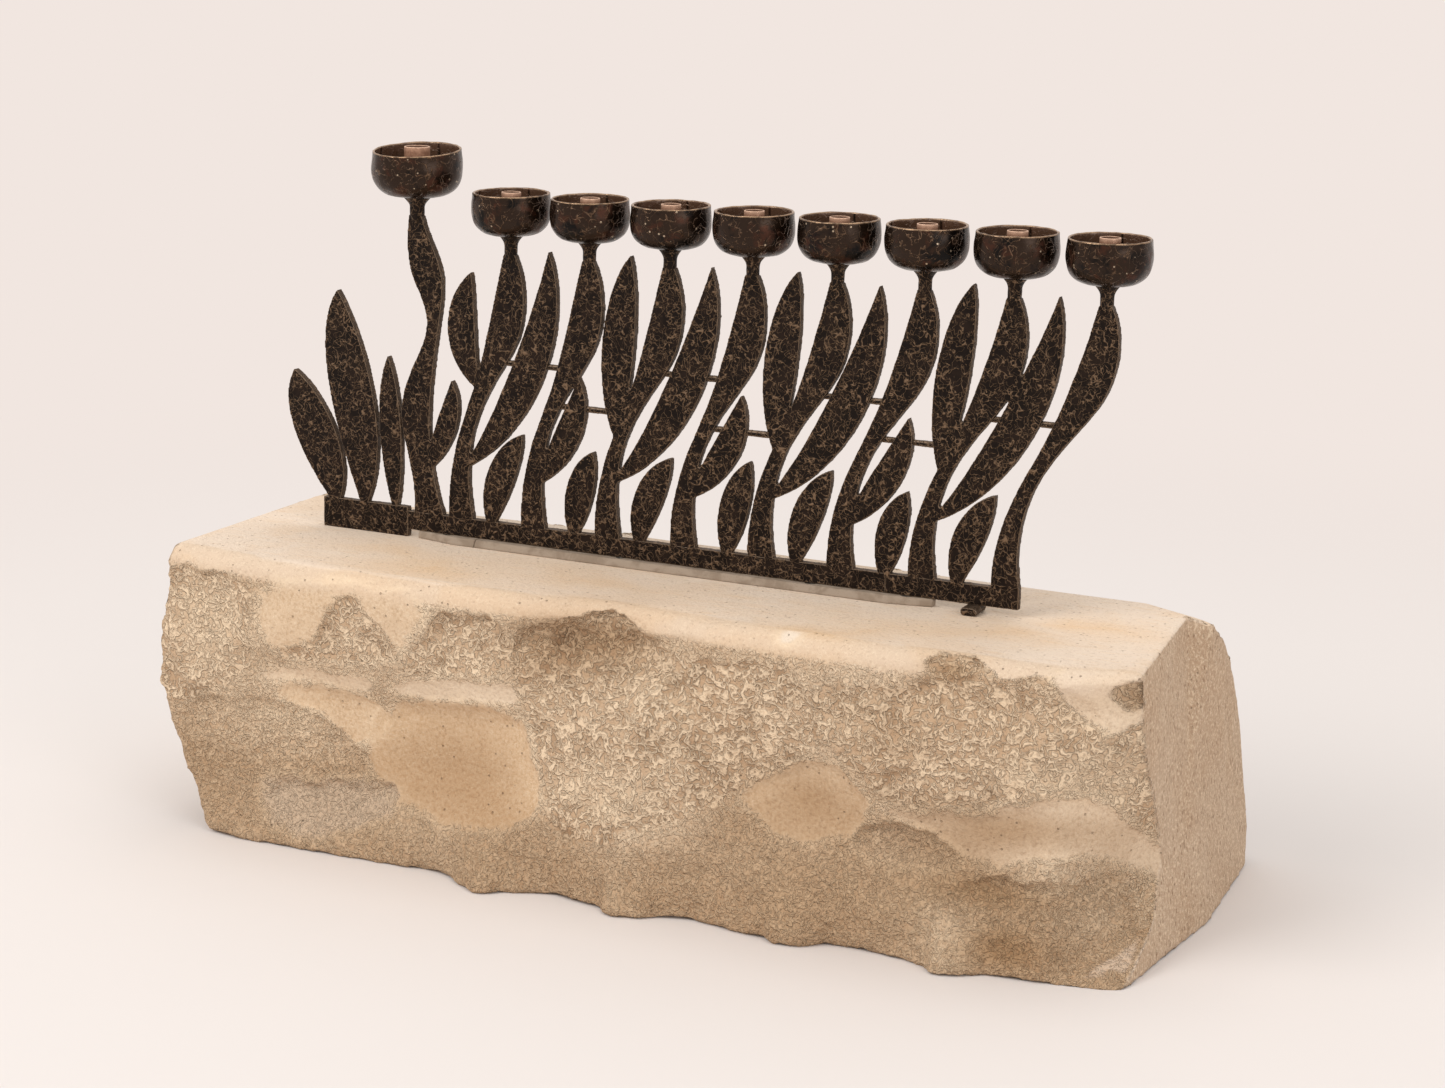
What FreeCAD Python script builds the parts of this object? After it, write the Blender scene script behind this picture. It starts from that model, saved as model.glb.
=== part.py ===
import FreeCAD
import Part
import os

# A nine-light Hanukkah menorah: an openwork of plate stems and leaves stands on a split limestone block.
# Eight equal candle cups stand in a level row, and the ninth, the servant light, stands higher at one end.
# X runs along the row of cups, Y goes from front to back, and Z is up from the surface that it stands on.
# The origin is under the middle of the stone.

Vector = FreeCAD.Vector

# Split limestone block
stone_length = 506.0
stone_depth = 218.0
stone_height = 142.0
stone_back_roundness = 1.5

# Cups in a level row, and the larger servant cup
cup_count = 8
cup_diameter = 38.0
cup_gap = 4.35
cup_depth = 20.5
cup_wall = 1.2
cup_floor = 1.6
cup_shoulder_share = 0.63
cup_sag_share = 0.42
cup_spread_share = 0.62
cup_seat_radius = 5.6
servant_cup_diameter = 44.0
servant_cup_depth = 22.8
servant_cup_seat_radius = 6.6
servant_spacing = 51.9
servant_rise = 17.3

# Candle sockets, loose in their cups, with a spigot that runs in the collar
socket_bore_diameter = 8.2
socket_wall = 0.6
socket_bore_depth = 15.0
socket_proud = 0.2
servant_socket_bore_diameter = 10.9
servant_socket_wall = 0.8
servant_socket_proud = 1.4
spigot_diameter = 3.2
spigot_engagement = 5.6
spigot_end_gap = 0.4
spigot_clearance = 0.05

# Collars between the cups and the plates
collar_height = 9.0
collar_flare_height = 5.2
collar_top_radius = 5.4
collar_waist_radius = 3.1
servant_collar_top_radius = 6.4
servant_collar_waist_radius = 3.5
collar_lip = 0.6

# Openwork of cut plate, brazed together on a bottom rail
plate_thickness = 4.0
openwork_centre_x = 51.0
openwork_centre_y = -20.0
openwork_height = 145.0
bedding_height = 3.6
bedding_width = 14.0
bedding_top_width = 10.5
bedding_left_inset = 6.0
bedding_right_inset = 40.8
bedding_left_length = 34.0
bedding_taper_length = 22.0
bedding_end_share = 0.35
rail_height = 9.5
rail_right_length = 64.8
stem_lean = 40.2
foot_crowding = 1.95
servant_foot_offset = 7.1
servant_foot_inset = 12.0
foot_plate_length = 49.4
foot_plate_height = 15.0
tie_diameter = 3.0
cut_overrun = 5.0

# Anchor pins from the rail into the stone, and the oval peg under the rail's right end
pin_shank_diameter = 5.0
pin_shank_depth = 28.0
pin_hole_clearance = 0.2
pin_hole_end_gap = 1.0
pin_spigot_diameter = 2.6
pin_spigot_height = 6.0
pin_shares = (0.07, 0.37, 0.68, 0.83)
peg_width = 8.0
peg_length = 13.0
peg_from_rail_end = 21.2
peg_setback = 2.0

# Heights and spacings that follow from the sizes above
cup_pitch = cup_diameter + cup_gap
rail_bottom = stone_height + bedding_height
plate_top = stone_height + openwork_height
cup_seat_height = plate_top + collar_height
rim_height = cup_seat_height + cup_depth
servant_seat_height = rim_height + servant_rise - servant_cup_depth
servant_plate_top = servant_seat_height - collar_height
row_half_length = (cup_count - 1) / 2 * cup_pitch
servant_x = openwork_centre_x - row_half_length - servant_spacing

# A stem's course: share of its rise, then half width and sway to the right as shares of the pitch
stem_course_shares = (
    (0.00, 0.160, 0.000),
    (0.14, 0.125, -0.050),
    (0.33, 0.090, -0.085),
    (0.52, 0.120, -0.020),
    (0.70, 0.205, 0.055),
    (0.86, 0.180, 0.040),
    (1.00, 0.090, 0.000),
)
servant_course_shares = (
    (0.00, 0.200, 0.000),
    (0.16, 0.150, -0.090),
    (0.35, 0.190, -0.130),
    (0.52, 0.120, 0.040),
    (0.65, 0.080, 0.180),
    (0.82, 0.200, 0.120),
    (0.92, 0.150, 0.040),
    (1.00, 0.100, 0.000),
)

# Places along the openwork, from its middle
foot_spacing = cup_pitch - foot_crowding
last_foot = row_half_length - stem_lean
servant_foot = -row_half_length - servant_spacing + servant_foot_offset
rail_left_end = servant_foot - servant_foot_inset
rail_right_end = last_foot + stem_course_shares[0][1] * cup_pitch
rail_joint = rail_right_end - rail_right_length
rail_length = rail_right_end - rail_left_end
foot_height = bedding_height + rail_height
pin_places = [openwork_centre_x + rail_left_end + share * rail_length for share in pin_shares]


def save(name, shape):
    shape.exportStep("parts/" + name + ".step")
    print(name, "solids", len(shape.Solids), "volume", round(shape.Volume, 1))


def cup_x(number):
    """Middle of a cup of the level row, counted from 0 at the left."""
    return openwork_centre_x + (number - (cup_count - 1) / 2) * cup_pitch

# Stone

# Stations along the stone, as shares of its length, and heights of the points, as shares of its height
station_shares = (-0.48, -0.405, -0.297, -0.198, -0.125, -0.055, 0.014, 0.089, 0.178, 0.247, 0.328, 0.411, 0.48)
height_shares = (0, 0.13, 0.33, 0.52, 0.71, 0.87, 0.965, 1)

# How far forward the split front stands at each height, one row per station, as shares of the stone's depth.
# A deep break lies under the top edge at the middle, a long one at the right, and smooth scoops lower down.
front_shares = (
    (0.445, 0.436, 0.427, 0.446, 0.452, 0.440, 0.440, 0.422),
    (0.450, 0.436, 0.410, 0.440, 0.460, 0.450, 0.452, 0.431),
    (0.440, 0.418, 0.383, 0.400, 0.458, 0.470, 0.459, 0.436),
    (0.422, 0.445, 0.386, 0.388, 0.448, 0.466, 0.459, 0.436),
    (0.500, 0.477, 0.408, 0.402, 0.450, 0.458, 0.457, 0.436),
    (0.436, 0.450, 0.445, 0.438, 0.440, 0.402, 0.450, 0.436),
    (0.491, 0.472, 0.459, 0.466, 0.455, 0.405, 0.450, 0.436),
    (0.417, 0.436, 0.440, 0.442, 0.450, 0.445, 0.450, 0.436),
    (0.463, 0.468, 0.413, 0.414, 0.444, 0.447, 0.454, 0.436),
    (0.422, 0.436, 0.400, 0.430, 0.457, 0.455, 0.454, 0.436),
    (0.472, 0.450, 0.394, 0.422, 0.450, 0.436, 0.452, 0.436),
    (0.413, 0.415, 0.372, 0.385, 0.425, 0.422, 0.450, 0.436),
    (0.370, 0.200, 0.160, 0.235, 0.322, 0.366, 0.385, 0.390),
)

# Where the top ends at the back and how far the back bulges, at each station, as shares of the depth
back_top_shares = (0.165, 0.17, 0.165, 0.175, 0.17, 0.165, 0.17, 0.165, 0.17, 0.165, 0.16, 0.16, 0.095)
back_belly_shares = (0.45, 0.475, 0.49, 0.48, 0.465, 0.475, 0.485, 0.475, 0.465, 0.48, 0.49, 0.5, 0.5)
back_belly_height_share = 0.13
back_undercut_share = 0.05
bottom_middle_share = 0.06

# How far each end stands out at each height, as shares of the length
left_end_shares = (0.441, 0.464, 0.490, 0.500, 0.496, 0.490, 0.486, 0.484)
right_end_front_share = 0.480
right_end_back_shares = (0.490, 0.484, 0.480, 0.480, 0.480, 0.480, 0.477, 0.459)
right_end_bottom_share = 0.5


def back_reach(station, height):
    """The back swells from the top's edge to a belly near the bottom, and tucks in under it."""
    top = back_top_shares[station]
    belly = back_belly_shares[station]
    if height < back_belly_height_share:
        return belly - back_undercut_share
    rise = (height - back_belly_height_share) / (1 - back_belly_height_share)
    swell = (1 - rise ** stone_back_roundness) ** (1 / stone_back_roundness)
    return top + (belly - top) * swell


def stone_point(x_share, y_share, z_share):
    return Vector(x_share * stone_length, y_share * stone_depth, z_share * stone_height)


def stone_ring(station):
    """One closed outline across the stone: up the front, over the top and down the back."""
    last = len(station_shares) - 1
    ring = []
    for level, height in enumerate(height_shares):
        x_share = station_shares[station]
        if station == 0:
            x_share = -left_end_shares[level]
        if station == last:
            x_share = right_end_front_share
        ring.append(stone_point(x_share, -front_shares[station][level], height))
    for level in range(len(height_shares) - 1, -1, -1):
        height = height_shares[level]
        x_share = station_shares[station]
        if station == 0:
            x_share = -left_end_shares[level]
        if station == last:
            x_share = right_end_back_shares[level]
        ring.append(stone_point(x_share, back_reach(station, height), height))
    x_share = right_end_bottom_share if station == last else x_share
    ring.append(stone_point(x_share, bottom_middle_share, 0))
    return ring


def triangle(first, second, third):
    return Part.Face(Part.makePolygon([first, second, third, first]))


def band(ring, following, station):
    """Facets between two outlines, with the diagonals turned by turns as split stone shows them."""
    faces = []
    count = len(ring)
    for index in range(count):
        after = (index + 1) % count
        a, b, c, d = ring[index], ring[after], following[after], following[index]
        if (index + station) % 2:
            faces += [triangle(a, b, c), triangle(a, c, d)]
        else:
            faces += [triangle(a, b, d), triangle(b, c, d)]
    return faces


def fan(ring, middle):
    return [triangle(middle, ring[i], ring[(i + 1) % len(ring)]) for i in range(len(ring))]


def stone_block():
    rings = [stone_ring(station) for station in range(len(station_shares))]
    faces = []
    for station in range(len(rings) - 1):
        faces += band(rings[station], rings[station + 1], station)
    middle_height = height_shares[3]
    faces += fan(rings[0], stone_point(-left_end_shares[3], 0, middle_height))
    faces += fan(rings[-1], stone_point(right_end_front_share, 0, middle_height))
    solid = Part.Solid(Part.Shell(faces))
    if solid.Volume < 0:
        solid.reverse()
    solid = solid.removeSplitter()
    for x in pin_places:
        hole_depth = pin_shank_depth + pin_hole_end_gap
        foot = Vector(x, openwork_centre_y, stone_height - hole_depth)
        hole = Part.makeCylinder(pin_shank_diameter / 2 + pin_hole_clearance, hole_depth + cut_overrun, foot)
        solid = solid.cut(hole)
    return solid

# Plates of the openwork

# A leaf's outline bows out to three quarters of its poles' offset from the middle line
leaf_fullness_share = 0.667
leaf_near_share = 0.28
leaf_far_share = 0.80


def plate_point(u, v):
    """A point on the front face of the openwork: u from its middle, v above the stone."""
    return Vector(openwork_centre_x + u, openwork_centre_y - plate_thickness / 2, stone_height + v)


def plate(face):
    return face.extrude(Vector(0, plate_thickness, 0))


def smooth_edge(points):
    curve = Part.BSplineCurve()
    curve.interpolate(points)
    return curve.toShape()


def leaf(base, tip, width, first_sway, second_sway):
    """A pointed leaf from base to tip, whose middle line sways to the left of the way it grows."""
    start = plate_point(*base)
    end = plate_point(*tip)
    along = end - start
    across = Vector(-along.z, 0, along.x).normalize()
    half = width * leaf_fullness_share
    edges = []
    for side in (1, -1):
        near = start + along * leaf_near_share + across * (first_sway + side * half)
        far = start + along * leaf_far_share + across * (second_sway + side * half)
        curve = Part.BezierCurve()
        curve.setPoles([start, near, far, end])
        edges.append(curve.toShape())
    return plate(Part.Face(Part.Wire(Part.__sortEdges__(edges))))


def stem_middle(course, foot, top, rise):
    """Middle of a stem at a share of its rise, from its foot's place to its collar's."""
    drift = 0
    for low, high in zip(course, course[1:]):
        if low[0] <= rise <= high[0]:
            part_way = (rise - low[0]) / (high[0] - low[0])
            drift = low[2] + (high[2] - low[2]) * part_way
    ease = rise * rise * (3 - 2 * rise)
    return foot[0] + (top[0] - foot[0]) * ease + drift * cup_pitch, foot[1] + (top[1] - foot[1]) * rise


def stem(course, foot, top, neck_half):
    """A swaying stem of changing width from the rail to a collar, with both ends cut square."""
    left = []
    right = []
    for rise, half_share, sway_share in course:
        middle, height = stem_middle(course, foot, top, rise)
        half = neck_half if rise == 1 else half_share * cup_pitch
        left.append(plate_point(middle - half, height))
        right.append(plate_point(middle + half, height))
    edges = [smooth_edge(left), Part.makeLine(left[-1], right[-1]), smooth_edge(right),
             Part.makeLine(right[0], left[0])]
    return plate(Part.Face(Part.Wire(Part.__sortEdges__(edges))))

# Leaves cut in one piece with the stems of the level row: the stem's number from 0 and the share of its rise
# where the leaf leaves it; the tip's place from the cup's axis and its height; the width and the two sways.
# Places, widths and sways are shares of the cup pitch, and heights are shares of the openwork's height.
stem_leaf_shares = (
    (0, 0.48, -0.50, 0.930, 0.36, 0.30, 0.20),
    (0, 0.18, 0.50, 1.020, 0.41, -0.46, -0.37),
    (1, 0.15, -0.10, 0.610, 0.32, -0.18, -0.20),
    (2, 0.34, -0.47, 1.030, 0.40, 0.12, 0.08),
    (2, 0.19, 0.52, 1.015, 0.42, -0.48, -0.35),
    (3, 0.17, -0.09, 0.610, 0.33, -0.19, -0.21),
    (4, 0.36, -0.45, 1.025, 0.39, 0.14, 0.08),
    (4, 0.20, 0.50, 1.005, 0.42, -0.47, -0.36),
    (5, 0.14, -0.12, 0.595, 0.32, -0.17, -0.20),
    (6, 0.35, -0.44, 1.035, 0.38, 0.10, 0.07),
    (6, 0.19, 0.50, 1.015, 0.41, -0.47, -0.36),
)

# Lower leaves that stand on the rail: the foot's and the tip's place from the foot of the stem at the left,
# the tip's height, the width and the two sways
lower_leaf_shares = (
    (0.38, 0.80, 0.40, 0.35, 0.13, 0.10),
    (0.50, 0.76, 0.37, 0.34, 0.06, 0.07),
    (0.38, 0.79, 0.38, 0.35, 0.13, 0.10),
    (0.52, 0.80, 0.40, 0.35, 0.06, 0.07),
    (0.40, 0.82, 0.40, 0.35, 0.12, 0.09),
    (0.50, 0.75, 0.36, 0.34, 0.06, 0.07),
    (0.38, 0.80, 0.38, 0.35, 0.13, 0.10),
)

# Leaves that fan out from the foot plate at the left end, measured from its left end and from the stone,
# and the leaf on the servant's stem: foot's and tip's place, tip's height, width and sways
foot_leaf_shares = (
    (0.19, -0.39, 0.540, 0.54, -0.14, 0.08),
    (0.56, 0.22, 0.830, 0.58, -0.18, 0.12),
    (0.99, 0.90, 0.620, 0.29, 0.00, 0.03),
)
servant_leaf_shares = (0.13, 0.30, 0.56, 0.26, -0.12, -0.16)


def stem_foot(number):
    """Foot of a stem on the rail, counted from 0 for the first of the level row."""
    return last_foot - (cup_count - 1 - number) * foot_spacing, foot_height


def stem_top(number):
    return cup_x(number) - openwork_centre_x, openwork_height


def shaped_leaf(base, tip, width, first, second):
    return leaf(base, tip, width * cup_pitch, first * cup_pitch, second * cup_pitch)


def branch_plate(number):
    """A stem of the level row with its leaves, cut from one plate."""
    foot = stem_foot(number)
    top = stem_top(number)
    solid = stem(stem_course_shares, foot, top, collar_waist_radius)
    for stem_number, rise, tip_share, tip_height, width, first, second in stem_leaf_shares:
        if stem_number == number:
            base = stem_middle(stem_course_shares, foot, top, rise)
            tip = (top[0] + tip_share * cup_pitch, tip_height * openwork_height)
            solid = solid.fuse(shaped_leaf(base, tip, width, first, second))
    return solid.removeSplitter()


def servant_plate():
    foot = (servant_foot, foot_height)
    top = (servant_x - openwork_centre_x, servant_plate_top - stone_height)
    solid = stem(servant_course_shares, foot, top, servant_collar_waist_radius)
    rise, tip_share, tip_height, width, first, second = servant_leaf_shares
    base = stem_middle(servant_course_shares, foot, top, rise)
    tip = (servant_foot + tip_share * cup_pitch, tip_height * openwork_height)
    return solid.fuse(shaped_leaf(base, tip, width, first, second)).removeSplitter()


def standing_leaf(shares, from_u, foot_v):
    """A leaf of its own that stands on the rail or on the foot plate, cut flat at its foot."""
    foot_share, tip_share, tip_height, width, first, second = shares
    base = (from_u + foot_share * cup_pitch, foot_v - rail_height / 2)
    tip = (from_u + tip_share * cup_pitch, tip_height * openwork_height)
    return shaped_leaf(base, tip, width, first, second).cut(below(foot_v))


def trimmed(blade, neighbours):
    """The leaf with its end cut back to the plates that it is brazed against."""
    for neighbour in neighbours:
        blade = blade.cut(neighbour)
    return max(blade.Solids, key=lambda solid: solid.Volume)


def below(v):
    """A block that takes away what reaches below a height over the stone."""
    corner = plate_point(-stone_length, v - stone_height) - Vector(0, cut_overrun, 0)
    return Part.makeBox(2 * stone_length, plate_thickness + 2 * cut_overrun, stone_height, corner)


def bar(u_from, u_to, v_from, v_to):
    corner = plate_point(u_from, v_from)
    return Part.makeBox(u_to - u_from, plate_thickness, v_to - v_from, corner)


def pin_holes():
    """Holes in the rail for the spigots of the anchor pins."""
    holes = []
    for x in pin_places:
        foot = Vector(x, openwork_centre_y, rail_bottom - cut_overrun)
        holes.append(Part.makeCylinder(pin_spigot_diameter / 2, cut_overrun + pin_spigot_height, foot))
    return Part.makeCompound(holes)


def openwork():
    """Every cut plate by name: the rail, the foot plate, the stems and the leaves."""
    pieces = {}
    pieces["base_rail_left"] = bar(rail_left_end, rail_joint, bedding_height, foot_height).cut(pin_holes())
    pieces["base_rail_right"] = bar(rail_joint, rail_right_end, bedding_height, foot_height).cut(pin_holes())
    left_end = rail_left_end - foot_plate_length
    pieces["foot_plate"] = bar(left_end, rail_left_end, 0, foot_plate_height)
    stems = {"servant_stem_plate": servant_plate()}
    for number in range(cup_count):
        stems["stem_plate_" + str(number + 1)] = branch_plate(number)
    pieces.update(stems)
    for number, shares in enumerate(foot_leaf_shares):
        blade = standing_leaf(shares, left_end, foot_plate_height)
        pieces["foot_leaf_" + str(number + 1)] = trimmed(blade, stems.values())
    for number, shares in enumerate(lower_leaf_shares):
        blade = standing_leaf(shares, stem_foot(number)[0], foot_height)
        pieces["lower_leaf_" + str(number + 1)] = trimmed(blade, stems.values())
    return pieces

# Rises at which a tie bridges the slits between one stem and the next, as shares of a stem's rise
tie_rise_shares = (0.60, 0.46, 0.62, 0.44, 0.60, 0.47, 0.58)


def ties(plates):
    """Short round bars brazed into the slits, so that neighbouring plates stiffen each other."""
    rods = []
    for number, rise in enumerate(tie_rise_shares):
        start = stem_middle(stem_course_shares, stem_foot(number), stem_top(number), rise)
        end = stem_middle(stem_course_shares, stem_foot(number + 1), stem_top(number + 1), rise)
        rod = Part.makeCylinder(tie_diameter / 2, end[0] - start[0], plate_point(*start), Vector(1, 0, 0))
        rod.translate(Vector(0, plate_thickness / 2, 0))
        rods.append(rod)
    bars = Part.makeCompound(rods)
    for shape in plates.values():
        bars = bars.cut(shape)
    return Part.makeCompound(bars.Solids)

# Bedding, pins and peg under the rail

def bedding_strip(u_from, u_to, narrow_start, narrow_end):
    """A run of pale bedding with sloping sides, drawn in where it dies out."""
    def outline(u, v, width):
        middle = plate_point(u, v) + Vector(0, plate_thickness / 2, 0)
        return [middle - Vector(0, width / 2, 0), middle + Vector(0, width / 2, 0)]

    def section(u, share):
        low = outline(u, 0, bedding_width * share)
        high = outline(u, bedding_height, bedding_top_width * share)
        return Part.makePolygon([low[0], low[1], high[1], high[0], low[0]])

    taper = bedding_taper_length
    stations = [(u_from, bedding_end_share if narrow_start else 1)]
    if narrow_start:
        stations.append((u_from + taper, 1))
    if narrow_end:
        stations.append((u_to - taper, 1))
    stations.append((u_to, bedding_end_share if narrow_end else 1))
    solid = Part.makeLoft([section(u, share) for u, share in stations], True, True)
    for x in pin_places:
        foot = Vector(x, openwork_centre_y, stone_height - cut_overrun)
        hole_radius = pin_shank_diameter / 2 + pin_hole_clearance
        solid = solid.cut(Part.makeCylinder(hole_radius, bedding_height + 2 * cut_overrun, foot))
    return solid


def anchor_pins():
    pins = []
    for x in pin_places:
        foot = Vector(x, openwork_centre_y, stone_height - pin_shank_depth)
        shank = Part.makeCylinder(pin_shank_diameter / 2, pin_shank_depth + bedding_height, foot)
        shoulder = Vector(x, openwork_centre_y, rail_bottom)
        spigot = Part.makeCylinder(pin_spigot_diameter / 2, pin_spigot_height, shoulder)
        pins.append(shank.fuse(spigot).removeSplitter())
    return Part.makeCompound(pins)


def rest_peg():
    """An oval bar from front to back between the rail's right end and the stone."""
    middle_x = openwork_centre_x + rail_right_end - peg_from_rail_end
    front_y = openwork_centre_y + plate_thickness / 2 - peg_length + peg_setback
    half_flat = (peg_width - bedding_height) / 2
    radius = bedding_height / 2
    centre_z = stone_height + radius
    left = Vector(middle_x - half_flat, front_y, centre_z)
    right = Vector(middle_x + half_flat, front_y, centre_z)
    up = Vector(0, 0, radius)
    side = Vector(radius, 0, 0)
    edges = [Part.Arc(left + up, left - side, left - up).toShape(), Part.makeLine(left - up, right - up),
             Part.Arc(right - up, right + side, right + up).toShape(), Part.makeLine(right + up, left + up)]
    return Part.Face(Part.Wire(edges)).extrude(Vector(0, peg_length, 0))

# Turned pieces: collars, cups and candle sockets

def turned(edges, x, seat_z):
    """A solid turned about a vertical axis from an outline drawn as radius and height."""
    face = Part.Face(Part.Wire(Part.__sortEdges__(edges)))
    solid = face.revolve(Vector(0, 0, 0), Vector(0, 1, 0), 360)
    solid.rotate(Vector(0, 0, 0), Vector(1, 0, 0), 90)
    solid.translate(Vector(x, openwork_centre_y, seat_z))
    return solid


def lines(*points):
    places = [Vector(radius, height, 0) for radius, height in points]
    return [Part.makeLine(a, b) for a, b in zip(places, places[1:])]


def curve(*points):
    bezier = Part.BezierCurve()
    bezier.setPoles([Vector(radius, height, 0) for radius, height in points])
    return bezier.toShape()


def collar(x, base_z, top_radius, waist_radius):
    """A short round neck that flares under the cup, bored from above for the socket's spigot."""
    bore = spigot_diameter / 2 + spigot_clearance
    bore_depth = spigot_engagement + spigot_end_gap
    waist_height = collar_height - collar_flare_height
    lip_height = collar_height - collar_lip
    flare_middle = (waist_height + lip_height) / 2
    edges = lines((0, collar_height - bore_depth), (0, 0), (waist_radius, 0), (waist_radius, waist_height))
    edges.append(curve((waist_radius, waist_height), (waist_radius, flare_middle), (top_radius, lip_height)))
    edges += lines((top_radius, lip_height), (top_radius, collar_height), (bore, collar_height),
                   (bore, collar_height - bore_depth), (0, collar_height - bore_depth))
    return turned(edges, x, base_z)


def cup(x, seat_z, diameter, depth, seat_radius):
    """A bowl with upright walls over a rounded bottom, and a hole in its floor for the spigot."""
    outer = diameter / 2
    inner = outer - cup_wall
    hole = spigot_diameter / 2 + spigot_clearance
    shoulder = depth * cup_shoulder_share
    sag = shoulder * cup_sag_share
    spread = seat_radius + (outer - seat_radius) * cup_spread_share
    inner_spread = spread - cup_wall / 2
    rim = cup_wall / 2
    edges = lines((hole, 0), (seat_radius, 0))
    edges.append(curve((seat_radius, 0), (spread, 0), (outer, sag), (outer, shoulder)))
    edges += lines((outer, shoulder), (outer, depth - rim))
    top = Part.Arc(Vector(outer, depth - rim, 0), Vector(outer - rim, depth, 0), Vector(inner, depth - rim, 0))
    edges.append(top.toShape())
    edges += lines((inner, depth - rim), (inner, shoulder))
    edges.append(curve((inner, shoulder), (inner, sag + cup_floor), (inner_spread, cup_floor),
                       (seat_radius, cup_floor)))
    edges += lines((seat_radius, cup_floor), (hole, cup_floor), (hole, 0))
    return turned(edges, x, seat_z)


def candle_socket(x, floor_z, height, bore_diameter, wall):
    """A small tube for the candle on a solid foot, with a spigot below it."""
    bore = bore_diameter / 2
    outer = bore + wall
    spigot = spigot_diameter / 2
    spigot_end = -cup_floor - spigot_engagement
    edges = lines((0, spigot_end), (spigot, spigot_end), (spigot, 0), (outer, 0), (outer, height),
                  (bore, height), (bore, height - socket_bore_depth), (0, height - socket_bore_depth),
                  (0, spigot_end))
    return turned(edges, x, floor_z)

os.makedirs("parts", exist_ok=True)
save("stone_block", stone_block())
plates = openwork()
for name, shape in plates.items():
    save(name, shape)
save("slit_ties", ties(plates))
bedding_start = rail_left_end + bedding_left_inset
bedding_joint = bedding_start + bedding_left_length
save("bedding_strip_left", bedding_strip(bedding_start, bedding_joint, True, False))
save("bedding_strip_right", bedding_strip(bedding_joint, rail_right_end - bedding_right_inset, False, True))
save("anchor_pins", anchor_pins())
save("rest_peg", rest_peg())

servant_socket_height = servant_cup_depth - cup_floor + servant_socket_proud
save("servant_collar", collar(servant_x, servant_plate_top, servant_collar_top_radius,
                              servant_collar_waist_radius))
save("servant_cup", cup(servant_x, servant_seat_height, servant_cup_diameter, servant_cup_depth,
                        servant_cup_seat_radius))
save("servant_candle_socket", candle_socket(servant_x, servant_seat_height + cup_floor, servant_socket_height,
                                            servant_socket_bore_diameter, servant_socket_wall))
socket_height = cup_depth - cup_floor + socket_proud
for number in range(cup_count):
    label = str(number + 1)
    x = cup_x(number)
    save("collar_" + label, collar(x, plate_top, collar_top_radius, collar_waist_radius))
    save("cup_" + label, cup(x, cup_seat_height, cup_diameter, cup_depth, cup_seat_radius))
    save("candle_socket_" + label, candle_socket(x, cup_seat_height + cup_floor, socket_height,
                                                 socket_bore_diameter, socket_wall))
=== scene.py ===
import bmesh
import bpy
import math
import numpy as np
from mathutils import Matrix, Vector
from mathutils.noise import noise as noiseAt


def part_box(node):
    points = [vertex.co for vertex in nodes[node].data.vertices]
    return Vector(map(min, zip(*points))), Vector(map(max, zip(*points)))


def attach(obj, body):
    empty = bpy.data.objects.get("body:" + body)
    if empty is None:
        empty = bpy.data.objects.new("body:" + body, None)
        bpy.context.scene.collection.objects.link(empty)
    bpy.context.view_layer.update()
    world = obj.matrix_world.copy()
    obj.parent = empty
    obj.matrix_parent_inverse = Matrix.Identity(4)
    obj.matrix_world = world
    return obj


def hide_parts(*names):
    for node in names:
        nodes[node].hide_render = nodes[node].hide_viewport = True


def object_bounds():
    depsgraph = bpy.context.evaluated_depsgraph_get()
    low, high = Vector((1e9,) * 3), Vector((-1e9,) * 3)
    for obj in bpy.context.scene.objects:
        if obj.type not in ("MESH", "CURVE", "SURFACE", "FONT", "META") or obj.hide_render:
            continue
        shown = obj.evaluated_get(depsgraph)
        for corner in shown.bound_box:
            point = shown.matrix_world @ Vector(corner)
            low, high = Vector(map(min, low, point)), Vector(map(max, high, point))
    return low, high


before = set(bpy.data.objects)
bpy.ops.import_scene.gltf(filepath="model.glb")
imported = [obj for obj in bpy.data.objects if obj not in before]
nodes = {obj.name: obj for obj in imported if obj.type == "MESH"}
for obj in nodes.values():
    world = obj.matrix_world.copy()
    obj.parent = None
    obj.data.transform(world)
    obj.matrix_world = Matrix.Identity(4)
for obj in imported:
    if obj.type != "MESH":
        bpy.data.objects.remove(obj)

scene = bpy.context.scene
cadLow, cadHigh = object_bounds()
mm = 0.001
print("frame loaded:", len(nodes), "nodes")


# Camera
camera = {
    "place": (0.5640, -1.2001, 0.4686),
    "turn": 24.851,
    "tilt": 13.416,
    "roll": 1.247,
    "lens": 70.60,
    "sensor": 36.0,
}


def placeCamera(values):
    data = bpy.data.cameras.new("photoCamera")
    data.lens = values["lens"]
    data.sensor_width = values["sensor"]
    thing = bpy.data.objects.new("photoCamera", data)
    scene.collection.objects.link(thing)
    turn = math.radians(values["turn"])
    tilt = math.radians(values["tilt"])
    roll = math.radians(values["roll"])
    back = Vector((math.sin(turn) * math.cos(tilt), -math.cos(turn) * math.cos(tilt), math.sin(tilt)))
    right = Vector((math.cos(turn), math.sin(turn), 0))
    up = back.cross(right)
    rolledRight = right * math.cos(roll) + up * math.sin(roll)
    rolledUp = up * math.cos(roll) - right * math.sin(roll)
    spin = Matrix((rolledRight, rolledUp, back)).transposed().to_4x4()
    thing.matrix_world = Matrix.Translation(values["place"]) @ spin
    scene.camera = thing


placeCamera(camera)
print("camera placed")


# Small tools for node trees
def paint(red, green, blue):  # a colour as a paint chart gives it, 0 to 255
    def even(level):
        share = level / 255
        return share / 12.92 if share < 0.04045 else ((share + 0.055) / 1.055) ** 2.4
    return even(red), even(green), even(blue), 1.0


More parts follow.
